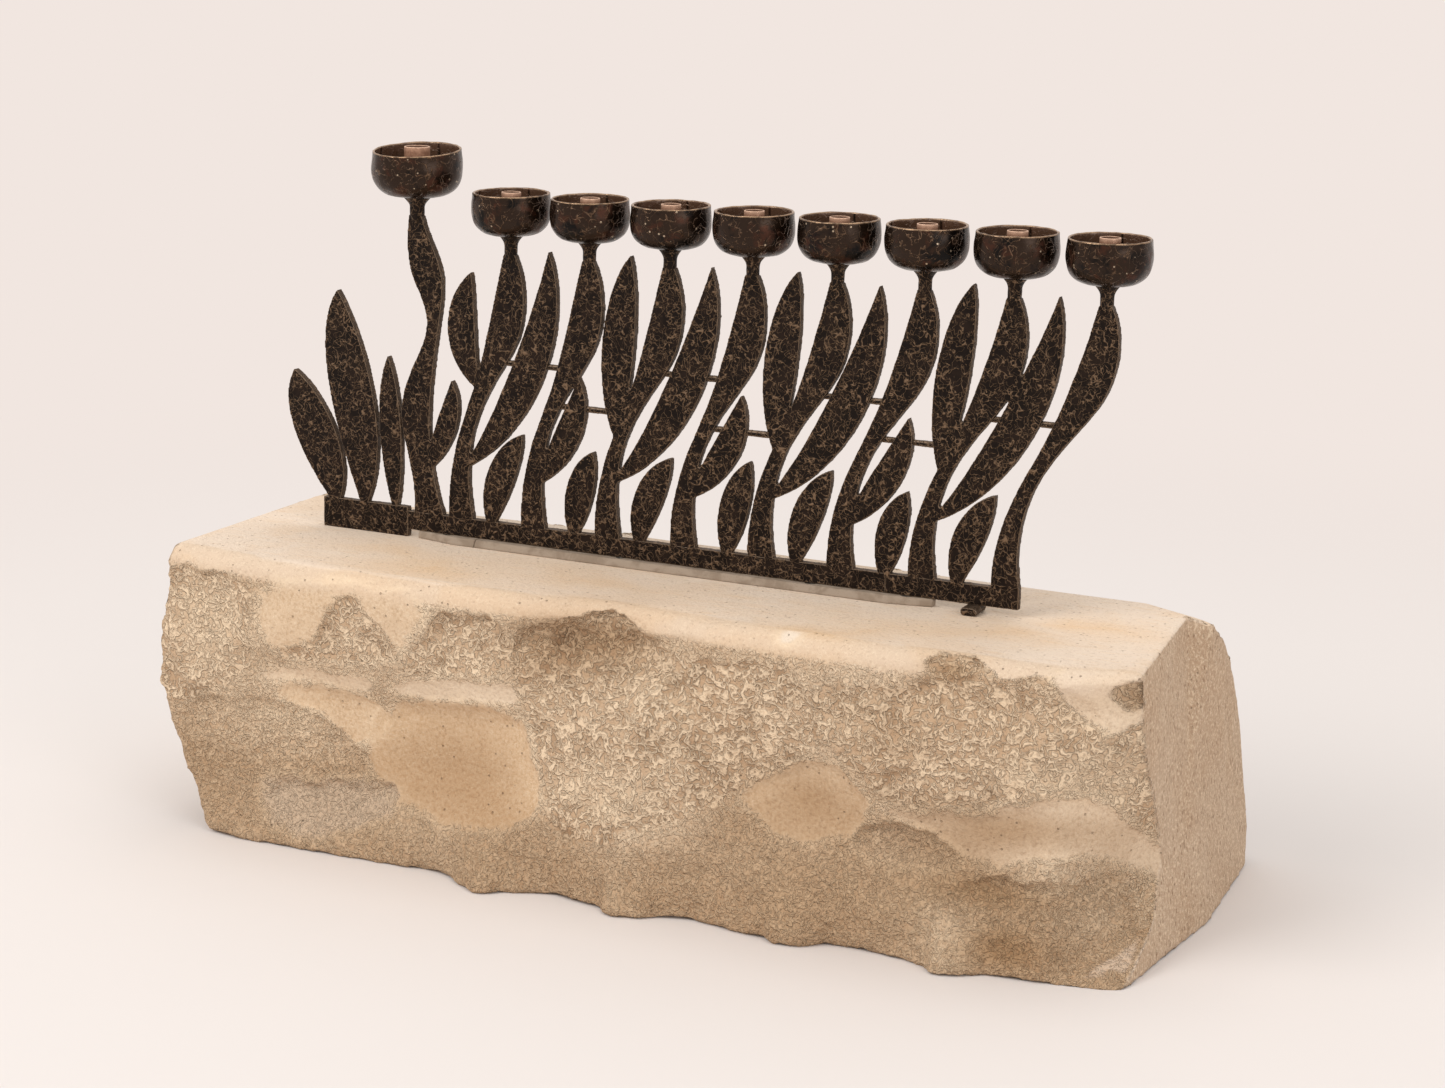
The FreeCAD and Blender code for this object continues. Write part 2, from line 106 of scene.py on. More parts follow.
def connect(tree, node, wires):  # another node's socket is linked, a plain value is typed in
    for place, value in wires.items():
        if isinstance(value, bpy.types.NodeSocket):
            tree.links.new(value, node.inputs[place])
        else:
            node.inputs[place].default_value = value


def addNode(tree, kind, wires=None, **settings):
    node = tree.nodes.new(kind)
    for name, value in settings.items():
        setattr(node, name, value)
    connect(tree, node, wires or {})
    return node


def calc(tree, operation, first, second=0.0):
    return addNode(tree, "ShaderNodeMath", {0: first, 1: second}, operation=operation).outputs[0]


def times(tree, first, second):
    return calc(tree, "MULTIPLY", first, second)


def total(tree, *parts):  # each part is a height and its share
    found = times(tree, *parts[0])
    for height, share in parts[1:]:
        found = calc(tree, "ADD", found, times(tree, height, share))
    return found


def fade(tree, value, low, high, start=0.0, end=1.0):
    wires = {0: value, 1: low, 2: high, 3: start, 4: end}
    return addNode(tree, "ShaderNodeMapRange", wires, interpolation_type="SMOOTHSTEP").outputs[0]


def noise(tree, place, scale, detail=2.0, roughness=0.5, bend=0.0):
    wires = {"Vector": place, "Scale": scale, "Detail": detail, "Roughness": roughness, "Distortion": bend}
    return addNode(tree, "ShaderNodeTexNoise", wires).outputs[0]


def cells(tree, place, scale):
    return addNode(tree, "ShaderNodeTexVoronoi", {"Vector": place, "Scale": scale}).outputs


def tint(tree, share, under, over):
    return addNode(tree, "ShaderNodeMix", {0: share, 6: under, 7: over}, data_type="RGBA").outputs[2]


def coats(tree, colour, *layers):  # each layer is a share and a colour, laid over what lies below it
    for share, over in layers:
        colour = tint(tree, share, colour, over)
    return colour


def shifted(tree, place, offset):
    return addNode(tree, "ShaderNodeVectorMath", {0: place, 1: offset}, operation="ADD").outputs[0]


def stretched(tree, place, scale):
    return addNode(tree, "ShaderNodeVectorMath", {0: place, 1: scale}, operation="MULTIPLY").outputs[0]


def storedValue(tree, name):
    return addNode(tree, "ShaderNodeAttribute", attribute_name=name).outputs["Fac"]


def normalPart(tree, axis):  # how far the surface faces along an axis
    normal = tree.nodes.new("ShaderNodeTexCoord").outputs["Normal"]
    return addNode(tree, "ShaderNodeSeparateXYZ", {0: normal}).outputs[axis]


# Effects that several finishes share
def wormLines(tree, place, scale, width):  # short curved strokes that wander over a surface
    first = noise(tree, place, scale, 1.0, 0.45, 0.5)
    second = noise(tree, shifted(tree, place, (0.31, 0.17, 0.43)), times(tree, scale, 1.25), 1.0, 0.45, 0.5)
    breaks = noise(tree, shifted(tree, place, (0.07, 0.63, 0.29)), times(tree, scale, 0.8), 0.0)
    strokes = []
    for wander, low, high in ((first, 0.40, 0.46), (second, 0.60, 0.54)):
        near = fade(tree, calc(tree, "ABSOLUTE", calc(tree, "SUBTRACT", wander, 0.5)), width, 0.0)
        strokes.append(times(tree, near, fade(tree, breaks, low, high)))
    return calc(tree, "MAXIMUM", *strokes)


def strands(tree, place, scale, count):  # contour bands of a noise, broken into short curved crumbs
    bands = calc(tree, "PINGPONG", times(tree, noise(tree, place, scale, 2.0, 0.5, 0.3), count), 1.0)
    breaks = noise(tree, shifted(tree, place, (0.41, 0.23, 0.11)), times(tree, scale, 1.6), 1.0)
    return times(tree, fade(tree, bands, 0.30, 0.92), fade(tree, breaks, 0.32, 0.46))


def mottle(tree, place, scale, low, high):  # cloudy patches
    return fade(tree, noise(tree, place, scale, 4.0, 0.6, 0.4), low, high)


def specks(tree, place, scale, size, empty):  # separate small dots, a share of the cells being left empty
    away, draw = cells(tree, place, scale)[:2]
    drawn = addNode(tree, "ShaderNodeSeparateColor", {0: draw}).outputs[0]
    dot = fade(tree, away, size, times(tree, size, 0.5))
    return times(tree, dot, calc(tree, "GREATER_THAN", drawn, empty))


def shaderGroup(name, result, build, **inputs):  # one effect, built once and used by several finishes
    group = bpy.data.node_groups.new(name, "ShaderNodeTree")
    group.interface.new_socket("Place", in_out="INPUT", socket_type="NodeSocketVector")
    for label, value in inputs.items():
        socket = group.interface.new_socket(label, in_out="INPUT", socket_type="NodeSocketFloat")
        socket.default_value = value
    group.interface.new_socket(result, in_out="OUTPUT", socket_type="NodeSocketFloat")
    given = group.nodes.new("NodeGroupInput").outputs
    made = build(group, given["Place"], *[given[label] for label in inputs])
    group.links.new(made, group.nodes.new("NodeGroupOutput").inputs[0])
    return group


def useGroup(tree, group, place, values):
    return addNode(tree, "ShaderNodeGroup", {"Place": place, **values}, node_tree=group).outputs[0]


wormGroup = shaderGroup("worm lines", "Lines", wormLines, Scale=250.0, Width=0.05)
strandGroup = shaderGroup("stone crumbs", "Crumbs", strands, Scale=130.0, Count=8.0)
mottleGroup = shaderGroup("mottle", "Patches", mottle, Scale=100.0, Low=0.45, High=0.6)
speckGroup = shaderGroup("specks", "Dots", specks, Scale=400.0, Size=0.2, Empty=0.7)


# Finishes
def newMaterial(name):
    material = bpy.data.materials.new(name)
    material.use_nodes = True
    tree = material.node_tree
    return material, tree, tree.nodes.new("ShaderNodeTexCoord").outputs["Object"]


def dress(tree, look, colour, height, metallic=0.0, patches=None):  # patches are duller than the rest
    wires = {"Base Color": colour, "Metallic": metallic, "Roughness": look["dull"]}
    wires["Specular IOR Level"] = look["specular"]
    if patches is not None:
        wires["Roughness"] = fade(tree, patches, 0.0, 1.0, look["gloss"], look["dull"])
    relief = {"Strength": 1.0, "Distance": look["relief"], "Height": height}
    wires["Normal"] = addNode(tree, "ShaderNodeBump", relief).outputs[0]
    connect(tree, tree.nodes["Principled BSDF"], wires)


def darkBronze(name, look):
    material, tree, place = newMaterial(name)
    strokes = useGroup(tree, wormGroup, place, look["strokes"])
    more = useGroup(tree, wormGroup, shifted(tree, place, (0.5, 0.8, 0.2)), look["moreStrokes"])
    strokes = calc(tree, "MAXIMUM", strokes, more)
    patches = useGroup(tree, mottleGroup, place, look["patches"])
    dots = useGroup(tree, speckGroup, place, look["dots"])
    # painted highlight: the plates' rounded edges, and faintly their side walls, are lightened by which way
    # they face
    edge = calc(tree, "ABSOLUTE", normalPart(tree, 1))
    worn = times(tree, fade(tree, edge, 0.97, 0.85), fade(tree, edge, 0.30, 0.60, 0.25, look["edgeHighlightShare"]))
    worn = times(tree, worn, storedValue(tree, "takesEdgeHighlight"))
    colour = coats(tree, look["dark"], (patches, look["brown"]), (strokes, look["line"]),
                   (times(tree, dots, look["dotShare"]), look["line"]), (worn, look["edge"]))
    height = total(tree, (strokes, 1.0), (noise(tree, place, look["grainScale"]), look["grain"]))
    dress(tree, look, colour, height, look["metallic"], patches)
    return material


panelLook = {
    "metallic": 0.40,
    "specular": 0.18,
    "gloss": 0.46,
    "dull": 0.62,
    "relief": 0.00045,
    "grainScale": 1500.0,
    "grain": 0.12,
    "strokes": {"Scale": 190.0, "Width": 0.027},
    "moreStrokes": {"Scale": 240.0, "Width": 0.027},
    "patches": {"Scale": 90.0, "Low": 0.44, "High": 0.62},
    "dots": {"Scale": 520.0, "Size": 0.22, "Empty": 0.86},
    "dotShare": 0.2,
    # how strongly the painted edge highlight shows
    "edgeHighlightShare": 0.85,
    "dark": paint(22, 14, 9),
    "brown": paint(36, 25, 18),
    "line": paint(120, 97, 76),
    # painted edge highlight
    "edge": paint(132, 112, 93),
}
panelFinish = darkBronze("dark patinated bronze plate", panelLook)


def cupBronze(name, look):
    material, tree, place = newMaterial(name)
    strokes = useGroup(tree, wormGroup, place, look["strokes"])
    red = useGroup(tree, mottleGroup, place, look["redPatches"])
    # dark patches: partly blotches of the patina, partly painted dark reflections on the cup
    blotchAndReflection = useGroup(tree, mottleGroup, shifted(tree, place, (0.4, 0.1, 0.2)), look["blotchAndReflectionPatches"])
    dots = useGroup(tree, speckGroup, place, look["dots"])
    within = storedValue(tree, "inside")
    worn = fade(tree, noise(tree, place, look["wearScale"], 3.0), 0.34, 0.56, 0.25, 1.0)
    colour = coats(tree, look["brown"], (red, look["red"]), (blotchAndReflection, look["blotchAndReflection"]),
                   (times(tree, strokes, look["strokeShare"]), look["line"]),
                   (times(tree, dots, look["dotShare"]), look["speck"]),
                   (times(tree, within, look["insideShare"]), look["inside"]),
                   (times(tree, storedValue(tree, "rim"), worn), look["rim"]))
    bright = fade(tree, within, 0.0, 1.0, look["metallic"], look["insideMetallic"])
    height = total(tree, (strokes, 1.0), (noise(tree, place, look["grainScale"]), look["grain"]))
    dress(tree, look, colour, height, bright, red)
    return material


cupLook = {
    "metallic": 0.75,
    "insideMetallic": 0.2,
    "specular": 0.5,
    "gloss": 0.24,
    "dull": 0.38,
    "relief": 0.00016,
    "grainScale": 1300.0,
    "grain": 0.15,
    "strokes": {"Scale": 190.0, "Width": 0.022},
    "strokeShare": 0.36,
    "redPatches": {"Scale": 110.0, "Low": 0.50, "High": 0.66},
    # partly patina blotches, partly painted dark reflection
    "blotchAndReflectionPatches": {"Scale": 75.0, "Low": 0.50, "High": 0.64},
    "dots": {"Scale": 430.0, "Size": 0.26, "Empty": 0.88},
    "dotShare": 0.7,
    "insideShare": 0.75,
    "wearScale": 260.0,
    "brown": paint(46, 33, 24),
    "red": paint(66, 38, 25),
    # partly patina blotches, partly painted dark reflection
    "blotchAndReflection": paint(14, 10, 8),
    "line": paint(140, 110, 84),
    "speck": paint(206, 186, 160),
    "rim": paint(158, 130, 102),
    "inside": paint(104, 76, 58),
}
cupFinish = cupBronze("mottled bronze cup", cupLook)


def bareCopper(name, look):
    material, tree, place = newMaterial(name)
    patches = useGroup(tree, mottleGroup, place, look["patches"])
    # painted shade inside the bore
    colour = coats(tree, look["copper"], (patches, look["stain"]), (storedValue(tree, "rim"), look["ring"]),
                   (storedValue(tree, "inside"), look["inside"]))
    dress(tree, look, colour, noise(tree, place, look["grainScale"], 3.0), look["metallic"], patches)
    return material


socketLook = {
    "metallic": 0.45,
    "specular": 0.5,
    "gloss": 0.42,
    "dull": 0.58,
    "relief": 0.00008,
    "grainScale": 1400.0,
    "patches": {"Scale": 420.0, "Low": 0.42, "High": 0.62},
    "copper": paint(178, 134, 108),
    "stain": paint(150, 108, 84),
    "ring": paint(214, 178, 152),
    # painted shade inside the bore
    "inside": paint(110, 80, 62),
}
socketFinish = bareCopper("bare copper socket", socketLook)


def palePaste(name, look):
    material, tree, place = newMaterial(name)
    patches = useGroup(tree, mottleGroup, place, look["patches"])
    dots = useGroup(tree, speckGroup, place, look["dots"])
    colour = coats(tree, look["cream"], (patches, look["grey"]),
                   (times(tree, dots, look["dotShare"]), look["grit"]))
    dress(tree, look, colour, noise(tree, place, look["grainScale"], 4.0, 0.65))
    return material


pasteLook = {
    "specular": 0.25,
    "dull": 0.85,
    "relief": 0.0002,
    "grainScale": 1100.0,
    "patches": {"Scale": 130.0, "Low": 0.42, "High": 0.62},
    "dots": {"Scale": 900.0, "Size": 0.3, "Empty": 0.7},
    "dotShare": 0.5,
    # grey-beige: the mortar's own colour darkened with painted shade, as the strip lies under the rail
    "cream": paint(160, 143, 126),
    "grey": paint(142, 125, 108),
    "grit": paint(140, 121, 102),
}
pasteFinish = palePaste("pale bedding mortar", pasteLook)


def plainSteel(name, look):
    material, tree, place = newMaterial(name)
    turned = noise(tree, stretched(tree, place, look["grooves"]), 1.0)
    dress(tree, look, tint(tree, turned, look["steel"], look["groove"]), turned, look["metallic"])
    return material


steelLook = {
    "metallic": 1.0,
    "specular": 0.5,
    "dull": 0.38,
    "relief": 0.00005,
    "grooves": (300.0, 300.0, 4000.0),
    "steel": paint(168, 166, 162),
    "groove": paint(132, 130, 126),
}
steelFinish = plainSteel("turned steel pin", steelLook)


def limestone(name, look):
    material, tree, place = newMaterial(name)
    flake, sawn, low = [storedValue(tree, value) for value in ("flake", "sawn", "low")]
    golden, milky, scarRimHighlight = [storedValue(tree, value) for value in ("golden", "milky", "scarRimHighlight")]
    broad = noise(tree, place, 16.0, 4.0, 0.6, 0.6)
    middle = noise(tree, place, 85.0, 4.0, 0.6)
    fine = noise(tree, place, 600.0, 3.0, 0.6)
    streaks = noise(tree, stretched(tree, place, (600.0, 600.0, 70.0)), 1.0)
    lengthwise = noise(tree, stretched(tree, place, (60.0, 500.0, 500.0)), 1.0, 3.0)
    crumbs = useGroup(tree, strandGroup, place, look["crumbs"])
    across = useGroup(tree, strandGroup, shifted(tree, place, (0.6, 0.2, 0.9)), look["crossCrumbs"])
    crumbs = calc(tree, "MAXIMUM", crumbs, times(tree, across, 0.85))
    grit = useGroup(tree, strandGroup, place, look["grit"])
    strokes = useGroup(tree, wormGroup, place, look["strokes"])
    pits = useGroup(tree, speckGroup, place, look["pits"])
    dashes = useGroup(tree, speckGroup, stretched(tree, place, (1.0, 1.0, 0.4)), look["dashes"])
    flecks = useGroup(tree, speckGroup, shifted(tree, place, (0.2, 0.5, 0.1)), look["flecks"])
    bare = fade(tree, calc(tree, "MAXIMUM", flake, sawn), 0.1, 1.0, 1.0, 0.0)
    calm = times(tree, fade(tree, flake, 0.05, 0.5), fade(tree, flake, 0.95, 0.7))

    # The split face, with finer crumbs where it is calm
    # painted shade: the hollow colour darkens random patches of the split face, as shade in its hollows
    rough = coats(tree, look["tan"], (fade(tree, broad, 0.38, 0.62), look["sand"]),
                  (fade(tree, middle, 0.52, 0.36, 0.0, 0.75), look["hollow"]))
    # painted shade between the crumbs
    calmer = coats(tree, rough, (fade(tree, grit, 0.5, 0.0, 0.0, look["creviceShadeShare"]), look["creviceShade"]),
                   (times(tree, grit, look["gritShare"]), look["cream"]),
                   (times(tree, crumbs, look["calmShare"]), look["cream"]))
    rough = coats(tree, rough, (fade(tree, crumbs, 0.5, 0.0, 0.0, look["creviceShadeShare"]), look["creviceShade"]),
                  (times(tree, crumbs, look["crumbShare"]), look["cream"]), (calm, calmer))

    # The smooth flakes
    smooth = coats(tree, look["honey"], (fade(tree, broad, 0.35, 0.65), look["pale"]),
                   (fade(tree, streaks, 0.50, 0.68, 0.0, 0.22), look["hollow"]),
                   (fade(tree, fine, 0.42, 0.62, 0.0, 0.35), look["cream"]))
    ripe = tint(tree, fade(tree, fine, 0.38, 0.62, 0.0, 0.5), look["golden"], look["pale"])

    # The sawn top and end, the end darker: partly its own tone, partly painted shade
    blots = noise(tree, stretched(tree, place, (14.0, 30.0, 30.0)), 1.0, 4.0, 0.6, 0.8)
    blots = fade(tree, blots, 0.42, 0.62)
    stains = times(tree, storedValue(tree, "stain"), fade(tree, blots, 0.0, 1.0, 0.7, 1.0))
    stains = calc(tree, "MAXIMUM", stains, times(tree, blots, 0.22))
    top = coats(tree, look["top"], (stains, look["ochre"]),
                (fade(tree, lengthwise, 0.52, 0.70, 0.0, 0.25), look["ochre"]))
    cap = tint(tree, stains, look["cap"], look["ochre"])
    end = coats(tree, look["end"], (fade(tree, broad, 0.35, 0.65), look["endWarm"]),
                (fade(tree, streaks, 0.56, 0.66, 0.0, 0.25), look["endPit"]),
                (times(tree, dashes, look["dashShare"]), look["endPit"]),
                (fade(tree, fine, 0.50, 0.66, 0.0, 0.45), look["cream"]))
    # the colour follows how the face turns: painted shade on the end, which faces away from the light
    cut = tint(tree, fade(tree, normalPart(tree, 2), 0.30, 0.75), end, top)

    colour = coats(tree, rough, (flake, smooth), (times(tree, golden, look["goldenShare"]), ripe),
                   (storedValue(tree, "capped"), cap), (sawn, cut),
                   (times(tree, milky, look["milkShare"]), look["milk"]),
                   (fade(tree, fine, 0.46, 0.30, 0.0, 0.30), look["hollow"]),
                   # painted highlight along the rims of the smooth scars
                   (times(tree, scarRimHighlight, look["scarRimHighlightShare"]), look["cream"]),
                   (times(tree, strokes, fade(tree, bare, 0.0, 1.0, 0.30, 0.12)), look["fleck"]),
                   (times(tree, pits, look["pitShare"]), look["pit"]),
                   (times(tree, flecks, look["fleckShare"]), look["fleck"]),
                   # painted light where the low value is below 0, and painted shade in the multiply below
                   (fade(tree, low, -0.1, -1.0, 0.0, 0.45), look["cream"]))
    colour = addNode(tree, "ShaderNodeMix", {0: low, 6: colour, 7: look["low"]}, data_type="RGBA",
                     blend_type="MULTIPLY").outputs[2]
    height = total(tree, (crumbs, bare), (times(tree, grit, calm), 0.6), (fine, 0.45), (streaks, 0.15),
                   (pits, -0.6))
    dress(tree, look, colour, height)
    return material


stoneLook = {
    "specular": 0.28,
    "dull": 0.92,
    "relief": 0.0014,
    "crumbs": {"Scale": 150.0, "Count": 9.0},
    "crossCrumbs": {"Scale": 190.0, "Count": 9.0},
    "grit": {"Scale": 260.0, "Count": 9.0},
    "strokes": {"Scale": 430.0, "Width": 0.035},
    "pits": {"Scale": 330.0, "Size": 0.20, "Empty": 0.80},
    "dashes": {"Scale": 500.0, "Size": 0.36, "Empty": 0.45},
    "flecks": {"Scale": 420.0, "Size": 0.24, "Empty": 0.82},
    "crumbShare": 0.66,
    "calmShare": 0.45,
    # how much painted shade falls between the crumbs
    "creviceShadeShare": 0.40,
    "gritShare": 0.62,
    "dashShare": 0.95,
    "goldenShare": 0.8,
    "milkShare": 0.7,
    # painted highlight along the scar rims
    "scarRimHighlightShare": 0.65,
    "pitShare": 0.40,
    "fleckShare": 0.30,
    "tan": paint(207, 176, 144),
    "sand": paint(219, 191, 160),
    # painted shade for the hollows of the split face, also the darker streaks and grain of the flakes
    "hollow": paint(160, 130, 102),
    "cream": paint(238, 214, 183),
    "honey": paint(206, 176, 143),
    "pale": paint(218, 192, 162),
    "golden": paint(204, 171, 134),
    "milk": paint(238, 224, 207),
    # painted shade between the crumbs
    "creviceShade": paint(164, 130, 97),
    "top": paint(230, 210, 190),
    "ochre": paint(224, 184, 138),
    # partly the end's own tone, partly painted shade on the side away from the light
    "end": paint(187, 161, 136),
    "endWarm": paint(180, 151, 124),
    "endPit": paint(140, 112, 87),
    "pit": paint(132, 104, 78),
    "fleck": paint(244, 226, 200),
    # painted shade, multiplied in by the low value
    "low": paint(198, 181, 162),
    "cap": paint(217, 193, 168),
}
stoneFinish = limestone("split limestone", stoneLook)
print("finishes made")


# Small tools for meshes
def newObject(name, mesh):
    thing = bpy.data.objects.new(name, mesh)
    scene.collection.objects.link(thing)
    return thing


def mergedCopy(node, name):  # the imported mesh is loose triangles, so its copy is merged first
    shell = bmesh.new()
    shell.from_mesh(nodes[node].data)
    bmesh.ops.remove_doubles(shell, verts=shell.verts, dist=0.002 * mm)
    mesh = bpy.data.meshes.new(name)
    shell.to_mesh(mesh)
    shell.free()
    return newObject(name, mesh)


def applied(thing):  # the finished mesh takes the place of the mesh and its modifiers
    bpy.context.view_layer.update()
    graph = bpy.context.evaluated_depsgraph_get()
    mesh = bpy.data.meshes.new_from_object(thing.evaluated_get(graph))
    thing.modifiers.clear()
    thing.data = mesh
    return thing


def evenMesh(thing, size, rounding):
    remesh = thing.modifiers.new("even", "REMESH")
    remesh.mode = "VOXEL"
    remesh.voxel_size = size
    if rounding:
        smooth = thing.modifiers.new("round", "SMOOTH")
        smooth.factor = 0.5
        smooth.iterations = rounding
    return applied(thing)


def pointsOf(mesh, kind="co"):  # the places of the mesh's points, or their normals
    found = np.zeros(len(mesh.vertices) * 3)
    mesh.vertices.foreach_get(kind, found)
    return found.reshape(-1, 3)


def movePoints(mesh, points):
    mesh.vertices.foreach_set("co", points.ravel())
    mesh.update()


def storeValue(mesh, name, values):
    attribute = mesh.attributes.new(name, "FLOAT", "POINT")
    attribute.data.foreach_set("value", values.astype(np.float32))


def finishPiece(thing, body, slot, *replaced):
    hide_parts(*replaced)
    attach(thing, body)


# Geometry nodes
def newTree(name, inputs):
    tree = bpy.data.node_groups.new(name, "GeometryNodeTree")
    tree.interface.new_socket("Geometry", in_out="INPUT", socket_type="NodeSocketGeometry")
    for label, value in inputs.items():
        socket = tree.interface.new_socket(label, in_out="INPUT", socket_type="NodeSocketFloat")
        socket.default_value = value
    tree.interface.new_socket("finish", in_out="INPUT", socket_type="NodeSocketMaterial")
    tree.interface.new_socket("Geometry", in_out="OUTPUT", socket_type="NodeSocketGeometry")
    return tree, tree.nodes.new("NodeGroupInput").outputs


def endTree(tree, given, amount):  # every point moves along its normal, and the tree ends in a plain mesh
    normal = tree.nodes.new("GeometryNodeInputNormal").outputs[0]
    offset = addNode(tree, "ShaderNodeVectorMath", {0: normal, 3: amount}, operation="SCALE").outputs[0]
    moved = addNode(tree, "GeometryNodeSetPosition", {0: given["Geometry"], 3: offset}).outputs[0]
    real = addNode(tree, "GeometryNodeRealizeInstances", {0: moved}).outputs[0]
    soft = addNode(tree, "GeometryNodeSetShadeSmooth", {0: real}).outputs[0]
    done = addNode(tree, "GeometryNodeSetMaterial", {0: soft, 2: given["finish"]}).outputs[0]
    tree.links.new(done, tree.nodes.new("NodeGroupOutput").inputs[0])
    return tree


def throughTree(thing, tree, finish, values):
    modifier = thing.modifiers.new("shape", "NODES")
    modifier.node_group = tree
    given = {"finish": finish, **values}
    for item in tree.interface.items_tree:
        if item.in_out == "INPUT" and item.name in given:
            modifier[item.identifier] = given[item.name]
    return applied(thing)


def buildWorkedTree():  # hammer dents, a slow wobble and chased strokes, all along the normal
    tree, given = newTree("worked metal", {"dentSize": 0.004, "dentDepth": 0.0001, "wobble": 0.0001,
                                           "lineScale": 190.0, "lineHeight": 0.0, "seed": 0.0})
    place = tree.nodes.new("GeometryNodeInputPosition").outputs[0]
    seed = given["seed"]
    own = shifted(tree, place, addNode(tree, "ShaderNodeCombineXYZ", {0: seed, 1: seed, 2: seed}).outputs[0])
    dents = calc(tree, "SUBTRACT", cells(tree, own, calc(tree, "DIVIDE", 1.0, given["dentSize"]))[0], 0.45)
    wobble = calc(tree, "SUBTRACT", noise(tree, own, 70.0), 0.5)
    strokes = (wormLines(tree, place, given["lineScale"], 0.03), given["lineHeight"])
    amount = total(tree, (dents, given["dentDepth"]), (wobble, given["wobble"]), strokes)
    return endTree(tree, given, amount)


workedTree = buildWorkedTree()


def workMetal(thing, finish, piece, seed):  # a piece without a line height has no chased strokes
    values = {"lineScale": panelLook["strokes"]["Scale"], "lineHeight": 0.0, "seed": seed, **piece}
    throughTree(thing, workedTree, finish, values)


def buildStoneTree():  # rough where the stone split, calmer on the flakes, almost flat where it was sawn
    tree, given = newTree("split stone face", {"broad": 0.003, "lumps": 0.002, "crumbs": 0.001,
                                               "crumbScale": 190.0})
    place = tree.nodes.new("GeometryNodeInputPosition").outputs[0]
    flake, sawn = [addNode(tree, "GeometryNodeInputNamedAttribute", {0: name}, data_type="FLOAT").outputs[0]
                   for name in ("flake", "sawn")]
    uncut = fade(tree, sawn, 0.0, 1.0, 1.0, 0.03)
    rough = times(tree, fade(tree, flake, 0.0, 0.9, 1.0, 0.06), uncut)
    broad = times(tree, calc(tree, "SUBTRACT", noise(tree, place, 22.0, 1.0), 0.5), given["broad"])
    lumps = calc(tree, "SUBTRACT", noise(tree, place, 75.0, 2.0, 0.5, 0.4), 0.5)
    crumbs = calc(tree, "SUBTRACT", strands(tree, place, given["crumbScale"], 3.0), 0.4)
    small = total(tree, (lumps, given["lumps"]), (crumbs, given["crumbs"]))
    return endTree(tree, given, total(tree, (broad, uncut), (small, rough)))


stoneTree = buildStoneTree()
print("geometry node trees built")


# Stone
stone = {
    "size": 1.25 * mm,
    "smoothing": 20,
    "triangles": 198000,
    "topHeight": 141.4 * mm,
    "topFront": -89 * mm,
    "endFrom": 215 * mm,
    "faceFrom": -60 * mm,
    "footFrom": -50 * mm,
    "broad": 2.4 * mm,
    "lumps": 8.0 * mm,
    "crumbs": 0.8 * mm,
    "crumbScale": 190.0,
    "ragged": 3.5,
    "frontFlake": 0.55,
    "edgeRound": 10.0 * mm,
    "capHeight": 128 * mm,
    "capFade": 8 * mm,
    "footHeight": 27 * mm,
    # painted shade: the split front is darkened towards its foot by these three values
    "shade": 0.55,
    "shadeFrom": 92 * mm,
    "shadeFade": 60 * mm,
    "cornerAt": 247 * mm,
    "cornerChip": 2.5 * mm,
    "cornerBreak": 2.5 * mm,
    "breakMiddle": 88,
    "breakReach": 42,
}

